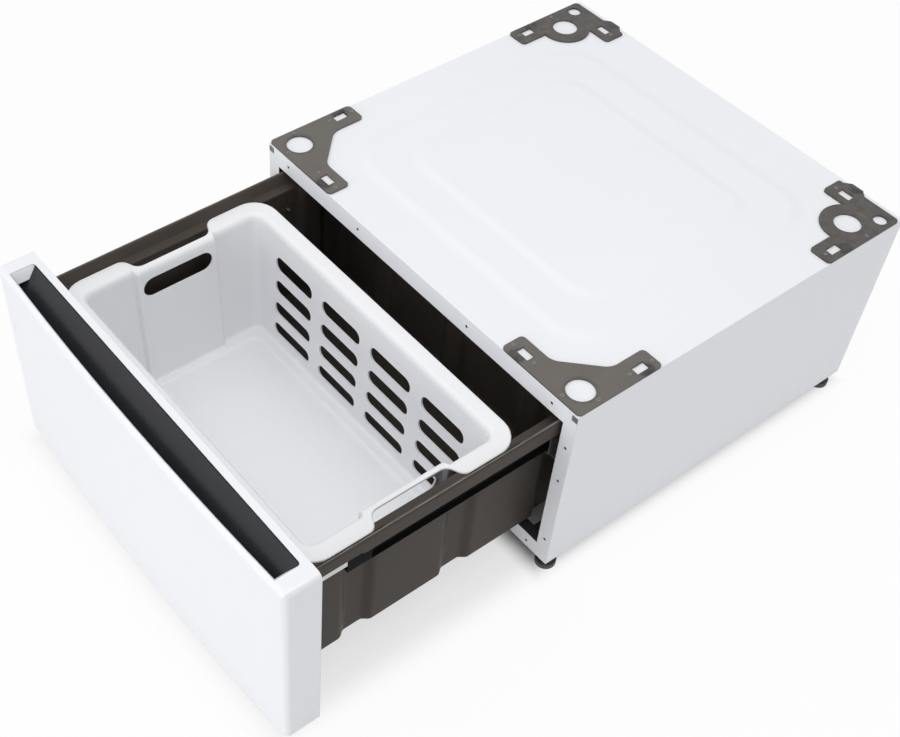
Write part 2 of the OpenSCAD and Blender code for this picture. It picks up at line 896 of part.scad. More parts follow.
function rim_profile() = [
    [lip_x, rim_top - lip_h],
    [lip_x, rim_top],
    [rim_slope_x1, rim_top],
    [ledge_out_x, ledge_top],
    [tub_x - tub_t, ledge_top],
    [tub_x - tub_t, ledge_top - tub_t],
    [ledge_out_x + tub_t / 2, ledge_top - tub_t],
    [rim_slope_x1 + tub_t / 2, rim_top - tub_t],
    [lip_x - tub_t, rim_top - tub_t],
    [lip_x - tub_t, rim_top - lip_h]
];

module drawer_tub() {
    color([0.29, 0.27, 0.25])
    difference() {
        union() {
            difference() {
                tub_slab(0, tub_low, ledge_top);
                tub_slab(tub_t, tub_low + tub_t, ledge_top + over);
            }
            difference() {
                block(-tub_x, tub_front_y, ledge_top - tub_t, tub_x, tub_rear_y, ledge_top);
                tub_slab(tub_t, ledge_top - tub_t - over, ledge_top + over);
            }
            both_sides()
                translate([0, tub_rear_y, 0])
                    rotate([90, 0, 0])
                        linear_extrude(height = tub_len)
                            polygon(rim_profile());
            block(-tub_x, tub_front_y, ledge_top - tub_t, tub_x, tub_front_y + tub_t, rim_top);
            block(-tub_x, tub_rear_y - tub_t, ledge_top - tub_t, tub_x, tub_rear_y, rim_top);
        }
        front_screw_holes(screw_r + hole_gap);
        both_sides() slide_screw_holes(screw_r + hole_gap);
    }
}

// Drawer front

// Plan of the front between its bowed face and its back: the face's corners are rounded on
// lines that pass just ahead of the bow where each rounding starts
bow_clear = 0.02;
bow_slope = (side_x - front_edge_r) / sqrt(bow_r * bow_r - pow(side_x - front_edge_r, 2));
bow_line_y = bow_axis_y - bow_slope * (side_x - front_edge_r) - bow_clear
    - sqrt(bow_r * bow_r - pow(side_x - front_edge_r, 2));

function front_plan(inset, back) = [
    [side_x - inset, front_back_y + back, 0],
    [side_x - inset, bow_line_y + inset + bow_slope * (side_x - inset), front_edge_r - inset],
    [0, bow_line_y + inset, 0],
    [-side_x + inset, bow_line_y + inset + bow_slope * (side_x - inset), front_edge_r - inset],
    [-side_x + inset, front_back_y + back, 0]
];

// A ring about the bow's axis from an outline of [distance from the axis, height, radius]
module bow_ring(path) {
    translate([0, bow_axis_y, 0])
        rotate_extrude($fn = 720)
            polygon(rounded(path));
}

// The front's outline seen from ahead, with rounded top corners
module front_slab(inset, y0, y1) {
    translate([0, y1, 0])
        rotate([90, 0, 0])
            linear_extrude(height = y1 - y0)
                polygon(rounded([
                    [-side_x + inset, front_floor_gap + inset, 0],
                    [side_x - inset, front_floor_gap + inset, 0],
                    [side_x - inset, front_top - inset, front_edge_r - inset],
                    [-side_x + inset, front_top - inset, front_edge_r - inset]
                ]));
}

module front_block(inset, back) {
    intersection() {
        translate([0, 0, front_floor_gap])
            linear_extrude(height = front_top - front_floor_gap + over)
                polygon(rounded(front_plan(inset, back)));
        bow_ring([
            [bow_r - front_bow - front_t - 2 * over, front_floor_gap - over, 0],
            [bow_r - inset, front_floor_gap - over, 0],
            [bow_r - inset, front_top - inset, front_edge_r - inset],
            [bow_r - front_bow - front_t - 2 * over, front_top - inset, 0]
        ]);
        front_slab(inset, front_mid_y - over, front_back_y + 2 * over);
    }
}

module front_panel() {
    color("white")
    difference() {
        union() {
            difference() {
                front_block(0, 0);
                front_block(front_sheet, over);
            }
            pull_lip();
            both_sides() pull_cheek();
        }
        pull_mouth();
    }
}

// The fold that runs down along the recess's front edge
module pull_lip() {
    intersection() {
        bow_ring([
            [pull_r, front_top - pull_lip_h, 0],
            [pull_r + front_sheet, front_top - pull_lip_h, 0],
            [pull_r + front_sheet, front_top - front_sheet, 0],
            [pull_r, front_top - front_sheet, 0]
        ]);
        block(-pull_l / 2, front_mid_y, front_floor_gap, pull_l / 2, front_back_y, front_top);
    }
}

// The opening in the front's top: straight at the rear, along the bow at the front
module pull_mouth() {
    intersection() {
        rounded_box(-pull_l / 2, front_mid_y, pull_l / 2, pull_back_y, pull_mouth_r,
            front_top - front_sheet, front_top + over);
        bow_ring([
            [pull_r - front_t, front_top - front_sheet - over, 0],
            [pull_r, front_top - front_sheet - over, 0],
            [pull_r, front_top + 2 * over, 0],
            [pull_r - front_t, front_top + 2 * over, 0]
        ]);
    }
}

// Outline of the recess seen from the front: sloped at both ends, then upright
function pull_end_path(grow) = [
    [pull_l / 2 + grow, front_top + over],
    [pull_l / 2 + grow, front_top - front_sheet],
    [pull_l / 2 - pull_cheek + grow, front_top - pull_cheek_drop],
    [pull_l / 2 - pull_cheek, front_top - pull_cheek_drop],
    [pull_l / 2 - pull_cheek, pull_low - over]
];

module pull_end_prism(grow) {
    path = pull_end_path(grow);
    translate([0, front_back_y, 0])
        rotate([90, 0, 0])
            linear_extrude(height = front_t + front_bow)
                polygon(concat(path, [for (p = reversed(path)) [-p[0], p[1]]]));
}

// White cheek that leads from the front's top down to the end of the recess
module pull_cheek() {
    intersection() {
        difference() {
            pull_end_prism(front_sheet);
            pull_end_prism(0);
        }
        pull_prism(0, pull_l / 2 + front_sheet);
        block(0, front_mid_y, front_top - pull_cheek_drop, side_x, pull_back_y,
            front_top - front_sheet);
    }
}

module front_inner_panel() {
    color("gainsboro")
    difference() {
        front_slab(front_sheet + inner_panel_inset, front_back_y - front_sheet, front_back_y);
        front_screw_holes(screw_r + hole_gap);
    }
}

// Pull recess: a trough whose front wall follows the bow and whose floor slopes up to the rear
pull_low = front_top - front_sheet - pull_d;
pull_r = bow_r - pull_lip_w;

function pull_path(grow) = [
    [front_mid_y, front_top - front_sheet, 0],
    [front_mid_y, pull_low - grow, 0],
    [front_end_y + pull_lip_w + pull_floor_w, pull_low - grow, pull_end_r + grow],
    [pull_back_y + grow, front_top - front_sheet - pull_wall, 0],
    [pull_back_y + grow, front_top - front_sheet, 0]
];

module pull_prism(grow, half_l) {
    intersection() {
        translate([-half_l, 0, 0])
            rotate([90, 0, 90])
                linear_extrude(height = 2 * half_l)
                    polygon(rounded(pull_path(grow)));
        bow_ring([
            [pull_r - front_bow - front_t, pull_low - grow, 0],
            [pull_r + grow, pull_low - grow, pull_end_r + grow],
            [pull_r + grow, front_top + over, 0],
            [pull_r - front_bow - front_t, front_top + over, 0]
        ]);
    }
}

module handle_pocket() {
    color([0.1, 0.11, 0.12])
    difference() {
        intersection() {
            pull_prism(pull_wall, pull_l / 2 + front_sheet + pull_wall);
            front_block(front_sheet + hole_gap, over);
        }
        intersection() {
            pull_prism(0, pull_l / 2 + front_sheet);
            pull_end_prism(front_sheet);
        }
        intersection() {
            bow_ring([
                [pull_r - front_bow - front_t, front_top - pull_lip_h - hole_gap, 0],
                [pull_r + front_sheet + hole_gap, front_top - pull_lip_h - hole_gap, 0],
                [pull_r + front_sheet + hole_gap, front_top, 0],
                [pull_r - front_bow - front_t, front_top, 0]
            ]);
            block(-pull_l / 2, front_mid_y, pull_low, pull_l / 2, pull_back_y, front_top);
        }
    }
}

// Screws and small pieces of the drawer

function front_screw_places() = [
    for (x = [-front_screw_x, 0, front_screw_x])
        for (i = [0:front_screw_rows - 1])
            [x, tub_low + front_screw_rise + i * front_screw_row_pitch]
];

module front_screw_holes(r) {
    for (p = front_screw_places())
        pin_y(p[0], p[1], front_back_y - over, front_back_y + tub_t + over, r);
}

module front_screws() {
    color("silver")
    for (p = front_screw_places()) {
        pin_y(p[0], p[1], front_back_y + tub_t - screw_l, front_back_y + tub_t, screw_r);
        pin_y(p[0], p[1], front_back_y + tub_t, front_back_y + tub_t + screw_head_h, screw_head_r);
    }
}

module slide_screws() {
    color("silver")
    both_sides()
    for (i = [0:fixing_count - 1]) {
        pin_x(slide_screw_y(i), slide_z, u_x(slide_t) - screw_l, u_x(slide_t), screw_r);
        pin_x(slide_screw_y(i), slide_z, u_x(slide_t), u_x(slide_t) + screw_head_h, screw_head_r);
    }
}

module slide_clip() {
    color([0.06, 0.06, 0.06])
        block(u_x(0), clip_y0, slide_z - clip_h / 2, u_x(clip_x), inner_slide_y0,
            slide_z + clip_h / 2);
}

module left_slide_clip() {
    left_copy() slide_clip();
}

module right_slide_clip() {
    slide_clip();
}

// A tie runs from the front, past the clip's outer face, level with the slide's upper half
module front_tie() {
    tie_low = slide_z + clip_h / 2 - tie_h;
    color("lightgray") {
        block(u_x(clip_x - tie_t), tub_front_y, tie_low, u_x(clip_x), clip_y0, tie_low + tie_h);
        block(u_x(0), tub_front_y, tie_low, u_x(clip_x), tub_front_y + tie_t, tie_low + tie_h);
        block(u_x(0), clip_y0 - tie_t, tie_low, u_x(clip_x), clip_y0, tie_low + tie_h);
    }
}

module left_front_tie() {
    left_copy() front_tie();
}

module right_front_tie() {
    front_tie();
}

module drawer_bumpers() {
    color([0.15, 0.15, 0.15])
    both_sides()
    for (z = [bumper_low, bumper_high])
        pin_y(bumper_x, z, front_back_y, front_back_y + bumper_h, bumper_r);
}

// Basket: a leaning shell with grip recesses, hand holes and rows of slots

// Half of a side's outline with one inward step of the given depth, length, slope and radius
function grip_side(x, mid, l, d, slope, r) = [
    [x, mid - l / 2 - slope, r],
    [x - d, mid - l / 2, r],
    [x - d, mid + l / 2, r],
    [x, mid + l / 2 + slope, r]
];

function basket_path(x, y0, y1, r, side) = concat(
    [[x, y0, r]], side, [[x, y1, r], [-x, y1, r]],
    [for (p = reversed(side)) [-p[0], p[1], p[2]]],
    [[-x, y0, r]]
);

// A leaning solid between two heights, with the mouth's outline grown by grow
module basket_core(grow, z0, z1) {
    half_x = basket_in_x + grow;
    half_y = basket_len / 2 - basket_end_rim + grow;
    fall = (basket_top - z0) * basket_draft_share;
    top_fall = (basket_top - z1) * basket_draft_share;
    translate([0, basket_mid_y, z0])
        linear_extrude(height = z1 - z0,
            scale = [(half_x - top_fall) / (half_x - fall), (half_y - top_fall) / (half_y - fall)],
            slices = 1)
            translate([0, -basket_mid_y])
                polygon(rounded(basket_path(half_x - fall, basket_mid_y - half_y + fall,
                    basket_mid_y + half_y - fall, basket_mouth_r + grow,
                    grip_side(half_x - fall, bump_mid_y, bump_l, bump_d, bump_slope, 0))));
}

module hand_hole(x0, x1) {
    z = basket_top - hand_hole_drop;
    span = hand_hole_l - hand_hole_h;
    block(x0, bump_mid_y - span / 2, z - hand_hole_h / 2, x1, bump_mid_y + span / 2,
        z + hand_hole_h / 2);
    for (s = [-1, 1])
        pin_x(bump_mid_y + s * span / 2, z, x0, x1, hand_hole_h / 2);
}

// Each row of slots is lower than the one above it by one share
function slot_height(j) = slot_h * pow(slot_row_share, j);

function slot_drop(j) =
    j == 0 ? slot_first_drop
    : slot_drop(j - 1) + (slot_height(j - 1) + slot_height(j)) / 2 + slot_web;

module basket_slots(y0, y1) {
    translate([0, y1, 0])
        rotate([90, 0, 0])
            linear_extrude(height = y1 - y0)
                for (i = [0:slot_cols - 1])
                    for (j = [0:slot_rows - 1])
                        translate([(i - (slot_cols - 1) / 2) * slot_col_pitch,
                            basket_top - slot_drop(j)])
                            polygon(rounded(box_path(-slot_l / 2, -slot_height(j) / 2,
                                slot_l / 2, slot_height(j) / 2, slot_round_share * slot_height(j))));
}

module laundry_basket() {
    color("ghostwhite")
    difference() {
        union() {
            basket_core(basket_wall, basket_low, basket_top);
            translate([0, 0, basket_top - basket_rim_t])
                linear_extrude(height = basket_rim_t)
                    polygon(rounded(basket_path(basket_rim_x, basket_y0, basket_y1, basket_corner_r,
                        grip_side(basket_rim_x, grip_mid_y, grip_l, grip_d, grip_slope, grip_r))));
        }
        basket_core(0, basket_low + basket_wall, basket_top + basket_rim_t);
        both_sides() hand_hole(basket_in_x / 2, basket_rim_x);
        basket_slots(basket_mid_y, basket_y1);
    }
}

// Feet

module foot_pad(sx, sy) {
    color([0.2, 0.2, 0.21])
    difference() {
        union() {
            pin_z(sx * foot_x, sy * foot_y, 0, foot_pad_h, foot_pad_r);
            translate([sx * foot_x, sy * foot_y, foot_pad_h])
                cylinder(r = foot_hex_r, h = foot_hex_h, $fn = 6);
        }
        pin_z(sx * foot_x, sy * foot_y, foot_pad_h / 2, foot_pad_h + foot_hex_h + over, stud_r);
    }
}

module foot_stud(sx, sy) {
    color("darkgray")
        pin_z(sx * foot_x, sy * foot_y, foot_pad_h / 2, nut_low + nut_h + stud_spare, stud_r);
}

module front_left_foot_pad() {
    foot_pad(-1, -1);
}

module front_right_foot_pad() {
    foot_pad(1, -1);
}

module rear_left_foot_pad() {
    foot_pad(-1, 1);
}

module rear_right_foot_pad() {
    foot_pad(1, 1);
}

module front_left_foot_stud() {
    foot_stud(-1, -1);
}

module front_right_foot_stud() {
    foot_stud(1, -1);
}

module rear_left_foot_stud() {
    foot_stud(-1, 1);
}

module rear_right_foot_stud() {
    foot_stud(1, 1);
}

top_panel();
left_side_panel();
right_side_panel();
back_panel();
front_sill();
rear_sill();
foot_plates();
foot_nuts();
front_left_bracket();
front_right_bracket();
rear_left_bracket();
rear_right_bracket();
bracket_rivets();
corner_plugs();
panel_screws();
slide_rivets();
left_slide_mount();
right_slide_mount();
left_outer_slide();
right_outer_slide();
left_ball_cage();
right_ball_cage();
left_slide_balls();
right_slide_balls();
drawer_tub();
front_panel();
front_inner_panel();
handle_pocket();
left_inner_slide();
right_inner_slide();
left_slide_clip();
right_slide_clip();
left_front_tie();
right_front_tie();
front_screws();
slide_screws();
drawer_bumpers();
laundry_basket();
front_left_foot_pad();
front_right_foot_pad();
rear_left_foot_pad();
rear_right_foot_pad();
front_left_foot_stud();
front_right_foot_stud();
rear_left_foot_stud();
rear_right_foot_stud();
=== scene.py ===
"""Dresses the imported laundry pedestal: finishes for every sheet, moulding and fixing, the pressed
fields of the top, the tub's soft flutes and rolled rim, and the moulded basket. Shapes are worked
out in mm and turned to metres by MM; shader, camera and lamp sizes are in metres."""

import json
import math

import bmesh
import bpy
import numpy as np
from mathutils import Matrix, Vector


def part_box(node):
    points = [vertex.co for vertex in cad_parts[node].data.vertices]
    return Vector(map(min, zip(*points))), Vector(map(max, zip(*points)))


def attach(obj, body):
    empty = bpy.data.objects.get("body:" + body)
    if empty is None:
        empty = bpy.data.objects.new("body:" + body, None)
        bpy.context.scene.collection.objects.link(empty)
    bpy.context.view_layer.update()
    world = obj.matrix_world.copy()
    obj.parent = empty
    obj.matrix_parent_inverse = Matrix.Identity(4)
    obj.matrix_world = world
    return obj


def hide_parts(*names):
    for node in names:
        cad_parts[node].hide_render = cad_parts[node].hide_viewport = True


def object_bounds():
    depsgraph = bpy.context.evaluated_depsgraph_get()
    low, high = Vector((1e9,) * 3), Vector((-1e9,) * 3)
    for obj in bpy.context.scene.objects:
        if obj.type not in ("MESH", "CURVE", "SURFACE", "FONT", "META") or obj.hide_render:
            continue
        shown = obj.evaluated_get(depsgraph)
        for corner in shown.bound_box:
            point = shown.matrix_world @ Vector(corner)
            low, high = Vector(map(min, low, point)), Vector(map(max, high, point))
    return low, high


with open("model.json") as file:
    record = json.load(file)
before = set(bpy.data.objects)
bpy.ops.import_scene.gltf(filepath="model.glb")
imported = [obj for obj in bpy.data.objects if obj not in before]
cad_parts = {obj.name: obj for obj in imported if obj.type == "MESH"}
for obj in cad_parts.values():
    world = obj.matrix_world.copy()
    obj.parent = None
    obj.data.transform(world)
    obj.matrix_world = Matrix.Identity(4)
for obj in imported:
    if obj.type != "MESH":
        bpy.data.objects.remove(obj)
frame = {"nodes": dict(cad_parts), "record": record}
CAD_BOX = [[float(c) for c in corner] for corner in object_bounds()]
NODES = frame["nodes"]
SLOT_OF = {s["node"]: s["material_slot"] for s in frame["record"]["subparts"]}
SCENE = bpy.context.scene
MM = 0.001

# The camera fitted to the photograph
CAMERA_TURN = math.radians(51.43)
CAMERA_HEIGHT = math.radians(50.45)
CAMERA_ROLL = math.radians(1.86)
CAMERA_PLACE = (1.0732, -1.2976, 1.7070)
CAMERA_LENS = 56.03
CAMERA_SHIFT = (0.1222, 0.0863)
CAMERA_CLIP = (0.05, 60)


def make_camera():
    """A camera that looks along -back, with its right and up turned by the roll about back."""
    back = Vector((math.sin(CAMERA_TURN) * math.cos(CAMERA_HEIGHT),
                   -math.cos(CAMERA_TURN) * math.cos(CAMERA_HEIGHT), math.sin(CAMERA_HEIGHT)))
    level = Vector((math.cos(CAMERA_TURN), math.sin(CAMERA_TURN), 0))
    upright = back.cross(level)
    right = level * math.cos(CAMERA_ROLL) + upright * math.sin(CAMERA_ROLL)
    up = upright * math.cos(CAMERA_ROLL) - level * math.sin(CAMERA_ROLL)
    camera = bpy.data.objects.new("camera", bpy.data.cameras.new("camera"))
    SCENE.collection.objects.link(camera)
    rows = [(right[i], up[i], back[i], CAMERA_PLACE[i]) for i in range(3)]
    camera.matrix_world = Matrix((*rows, (0, 0, 0, 1)))
    camera.data.lens = CAMERA_LENS
    camera.data.shift_x, camera.data.shift_y = CAMERA_SHIFT
    camera.data.clip_start, camera.data.clip_end = CAMERA_CLIP
    SCENE.camera = camera


class Tree:
    """Adds nodes to a node tree and links them."""

    def __init__(self, tree):
        self.tree = tree

    def add(self, kind, inputs=None, **settings):
        """A node with its settings, then its inputs, each linked or set to a value."""
        node = self.tree.nodes.new(kind)
        for name, value in settings.items():
            setattr(node, name, value)
        for key, value in (inputs or {}).items():
            if isinstance(value, bpy.types.NodeSocket):
                self.tree.links.new(value, node.inputs[key])
            else:
                node.inputs[key].default_value = value
        return node

    def math(self, operation, a, b=0.0, clamp=False):
        """One operation on one or two values."""
        return self.add("ShaderNodeMath", {0: a, 1: b}, operation=operation,
                        use_clamp=clamp).outputs[0]

    def ramp(self, value, low, high, out_low=0.0, out_high=1.0):
        """Maps value from low..high to out_low..out_high with soft ends."""
        return self.add("ShaderNodeMapRange",
                        {"Value": value, "From Min": low, "From Max": high,
                         "To Min": out_low, "To Max": out_high},
                        interpolation_type="SMOOTHSTEP").outputs["Result"]

    def mix(self, share, a, b):
        """Colour a where the share is 0 and colour b where it is 1."""
        return self.add("ShaderNodeMix", {0: share, 6: a, 7: b}, data_type="RGBA").outputs[2]

    def noise(self, vector, scale, detail=2.0, rough=0.5):
        """Soft noise of 0 to 1, with scale cells to the metre."""
        return self.add("ShaderNodeTexNoise",
                        {"Vector": vector, "Scale": scale, "Detail": detail, "Roughness": rough}
                        ).outputs["Fac"]


def group(name, inputs, outputs):
    """An empty shader node group with named sockets: {name: (socket type, default)}."""
    tree = bpy.data.node_groups.new(name, "ShaderNodeTree")
    for key, (kind, value) in inputs.items():
        socket = tree.interface.new_socket(key, in_out="INPUT", socket_type=kind)
        if value is not None:
            socket.default_value = value
    for key, kind in outputs.items():
        tree.interface.new_socket(key, in_out="OUTPUT", socket_type=kind)
    build = Tree(tree)
    return tree, build, build.add("NodeGroupInput").outputs, build.add("NodeGroupOutput").inputs


FLOAT = "NodeSocketFloat"
VECTOR = "NodeSocketVector"

# Each pair is where an effect starts and where it is full. A turn is one minus its cosine.
WEAR = {"turn": (0.01, 0.2), "noise": (0.40, 0.62)}
DUST_LOOK = {"spot": (0.16, 0.05), "patch_scale": 9.0, "patch": (0.5, 0.68),
             "stroke_stretch": (6.0, 60.0, 60.0), "stroke_scale": 3.0, "stroke": (0.63, 0.72),
             "stroke_share": 0.35}


def edge_wear_group():
    """Rounded edges: the normal rounded over Radius, and a mask of 0 to 1 for the wear where it
    turns away from the face's own normal, broken up by noise."""
    tree, t, i, o = group("edge_wear", {"Vector": (VECTOR, None), "Amount": (FLOAT, 0.5),
                                        "Scale": (FLOAT, 60.0), "Radius": (FLOAT, 0.001)},
                          {"Mask": FLOAT, "Normal": VECTOR})
    rounded = t.add("ShaderNodeBevel", {"Radius": i["Radius"]}, samples=4).outputs["Normal"]
    plain = t.add("ShaderNodeNewGeometry").outputs["Normal"]
    same = t.add("ShaderNodeVectorMath", {0: rounded, 1: plain}, operation="DOT_PRODUCT")
    edge = t.ramp(t.math("SUBTRACT", 1.0, same.outputs["Value"]), *WEAR["turn"])
    broken = t.ramp(t.noise(i["Vector"], i["Scale"], detail=4.0, rough=0.6), *WEAR["noise"])
    tree.links.new(t.math("MULTIPLY", t.math("MULTIPLY", edge, broken), i["Amount"], True),
                   o["Mask"])
    tree.links.new(rounded, o["Normal"])
    return tree


def coating_group():
    """Sprayed coat: a fine orange peel for the bump, faint clouds in colour and roughness."""
    tree, t, i, o = group("sprayed_coat",
                          {"Vector": (VECTOR, None), "Peel Scale": (FLOAT, 420.0),
                           "Cloud Scale": (FLOAT, 3.0), "Cloud": (FLOAT, 0.03),
                           "Base Roughness": (FLOAT, 0.35), "Roughness Spread": (FLOAT, 0.08)},
                          {"Height": FLOAT, "Shade": FLOAT, "Roughness": FLOAT})
    peel = t.noise(i["Vector"], i["Peel Scale"], detail=2.0, rough=0.4)
    cloud = t.noise(i["Vector"], i["Cloud Scale"], detail=3.0, rough=0.55)
    centred = t.math("SUBTRACT", cloud, 0.5)
    tree.links.new(peel, o["Height"])
    tree.links.new(t.math("MULTIPLY", centred, i["Cloud"]), o["Shade"])
    tree.links.new(t.math("ADD", i["Base Roughness"],
                          t.math("MULTIPLY", centred, i["Roughness Spread"])), o["Roughness"])
    return tree


def speckle_group():
    """Dust and scuffs: sparse small spots and a few long faint strokes, as a mask of 0 to 1."""
    tree, t, i, o = group("dust", {"Vector": (VECTOR, None), "Scale": (FLOAT, 160.0),
                                   "Amount": (FLOAT, 0.3)}, {"Mask": FLOAT})
    spots = t.add("ShaderNodeTexVoronoi", {"Vector": i["Vector"], "Scale": i["Scale"]},
                  feature="F1").outputs["Distance"]
    near = t.ramp(spots, *DUST_LOOK["spot"][::-1], 1.0, 0.0)
    patch = t.ramp(t.noise(i["Vector"], DUST_LOOK["patch_scale"], detail=3.0), *DUST_LOOK["patch"])
    stretched = t.add("ShaderNodeMapping",
                      {"Vector": i["Vector"], "Scale": DUST_LOOK["stroke_stretch"]})
    stroke = t.ramp(t.noise(stretched.outputs["Vector"], DUST_LOOK["stroke_scale"]),
                    *DUST_LOOK["stroke"])
    both = t.math("ADD", t.math("MULTIPLY", near, patch),
                  t.math("MULTIPLY", stroke, DUST_LOOK["stroke_share"]), True)
    tree.links.new(t.math("MULTIPLY", both, i["Amount"], True), o["Mask"])
    return tree


# Painted shade round the brackets' holes and scoops, for the right-hand side: x, y, full and faded
# radius in metres, share
BRACKET_SHADE_SPOTS = [(0.310, -0.292, 0.0204, 0.0270, 0.45), (0.301, 0.250, 0.0204, 0.0380, 0.60),
         (0.325, 0.294, 0.0104, 0.0240, 0.85), (0.3345, -0.197, 0.0080, 0.0170, 1.0),
         (0.215, -0.3185, 0.0080, 0.0170, 1.0), (0.336, 0.204, 0.0090, 0.0190, 1.0),
         (0.259, 0.320, 0.0090, 0.0190, 1.0)]
# The rear brackets are darker than the front ones by this share, changing between two y
REAR_SHARE = 0.62
REAR_CHANGE = (-0.05, 0.05)
# Noise that breaks up the painted shade: its scale, its range, and the shares at the range's ends
BRACKET_SHADE_NOISE = {"scale": 70.0, "range": (0.3, 0.7), "shares": (0.6, 1.15)}


def bracket_shade_group():
    """Painted shade round the holes and scoops and a darker rear pair, broken up by noise, as a
    mask of
    0 to 1."""
    tree, t, i, o = group("bracket_painted_shade", {"Vector": (VECTOR, None)}, {"Mask": FLOAT})
    axes = t.add("ShaderNodeSeparateXYZ", {0: i["Vector"]}).outputs
    flat = t.add("ShaderNodeCombineXYZ", {0: t.math("ABSOLUTE", axes[0]), 1: axes[1]}).outputs[0]
    mask = t.ramp(axes[1], *REAR_CHANGE, 0.0, REAR_SHARE)
    for x, y, full, faded, share in BRACKET_SHADE_SPOTS:
        away = t.add("ShaderNodeVectorMath", {0: flat, 1: (x, y, 0.0)}, operation="DISTANCE")
        mask = t.math("MAXIMUM", mask, t.ramp(away.outputs["Value"], full, faded, share, 0.0))
    uneven = t.ramp(t.noise(i["Vector"], BRACKET_SHADE_NOISE["scale"], detail=4.0, rough=0.6),
                    *BRACKET_SHADE_NOISE["range"], *BRACKET_SHADE_NOISE["shares"])
    tree.links.new(t.math("MULTIPLY", mask, uneven, True), o["Mask"])
    return tree


# Painted light along the rims, a painted shadow line in the gap and a painted highlight line on the
# edge: how far from the middle each lies, its soft edge, and the height above which it shows
GAP_SHADOW = {"from": 0.3056, "to": 0.3094, "soft": 0.0004, "above": 0.308}
EDGE_HIGHLIGHT = {"from": 0.3101, "to": 0.3113, "soft": 0.0006, "above": 0.312}
LINE_FADE = 0.002
# Where the painted gap shadow shows along the drawer: in front of the basket's rear end, and not
# beside the grip
GAP_END = (-0.395, -0.385)
GRIP_PLACE = -0.546
GRIP_HALF = (0.064, 0.072)
# Noise that breaks up the painted edge highlight, as for the brackets' painted shade
LINE_NOISE = {"scale": 40.0, "range": (0.3, 0.65), "shares": (0.35, 0.9)}


def rim_light_group():
    """Painted light on the tub's rims: a shadow in the gap beside the basket's right rim, a
    highlight on the edge.
    """
    tree, t, i, o = group("rim_shadow_and_highlight", {"Vector": (VECTOR, None)}, {"Gap": FLOAT, "Edge": FLOAT})
    axes = t.add("ShaderNodeSeparateXYZ", {0: i["Vector"]}).outputs

    def line(across, look):
        inner = t.ramp(across, look["from"] - look["soft"], look["from"])
        outer = t.ramp(across, look["to"], look["to"] + look["soft"], 1.0, 0.0)
        high = t.ramp(axes[2], look["above"], look["above"] + LINE_FADE)
        return t.math("MULTIPLY", t.math("MULTIPLY", inner, outer), high)

    along = t.math("ABSOLUTE", t.math("SUBTRACT", axes[1], GRIP_PLACE))
    beside = t.math("MULTIPLY", t.ramp(axes[1], *GAP_END, 1.0, 0.0), t.ramp(along, *GRIP_HALF))
    tree.links.new(t.math("MULTIPLY", line(axes[0], GAP_SHADOW), beside), o["Gap"])
    broken = t.ramp(t.noise(i["Vector"], LINE_NOISE["scale"], detail=3.0), *LINE_NOISE["range"],
                    *LINE_NOISE["shares"])
    edge = line(t.math("ABSOLUTE", axes[0]), EDGE_HIGHLIGHT)
    tree.links.new(t.math("MULTIPLY", edge, broken), o["Edge"])
    return tree


EDGE_WEAR = edge_wear_group()
BRACKET_SHADE = bracket_shade_group()
RIM_SHADE_AND_HIGHLIGHT = rim_light_group()
COAT = coating_group()
DUST = speckle_group()


# The cabinet's inside, less a skin: how far from the middle along x and y, and how high, in metres
SKIN = 0.0004
INNER_FACES = [CAD_BOX[1][0] - SKIN, -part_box("top_panel")[0][1] - SKIN,
               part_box("left_side_panel")[1][2] - SKIN]
# The same for every coat: how far noise may swing the colour and the roughness, and the height of
# the bumps and the radius of the edges in metres. The plain colour is in the middle of the mix.
SWING = 0.5
MIDDLE = 0.5
ROUGHNESS_SPREAD = 0.1
BUMP_DISTANCE = 0.0006
EDGE_RADIUS = 0.0008


def shade(color, change):
    """A colour made lighter or darker by a share."""
    return tuple(c * (1 + change) for c in color) + (1.0,)


def inner_mask(t, place):
    """1 on what lies inside the cabinet's sheets, 0 outside them."""
    axes = t.add("ShaderNodeSeparateXYZ", {0: place}).outputs
    within = [t.math("LESS_THAN", t.math("ABSOLUTE", axis), limit)
              for axis, limit in zip(axes, INNER_FACES)]
    return t.math("MULTIPLY", within[0], t.math("MULTIPLY", within[1], within[2]))


def new_material(name):
    """A material with its node builder, shader node and the Object coordinates."""
    material = bpy.data.materials.new(name)
    material.use_nodes = True
    t = Tree(material.node_tree)
    shader = material.node_tree.nodes["Principled BSDF"]
    return material, t, shader, t.add("ShaderNodeTexCoord").outputs["Object"]


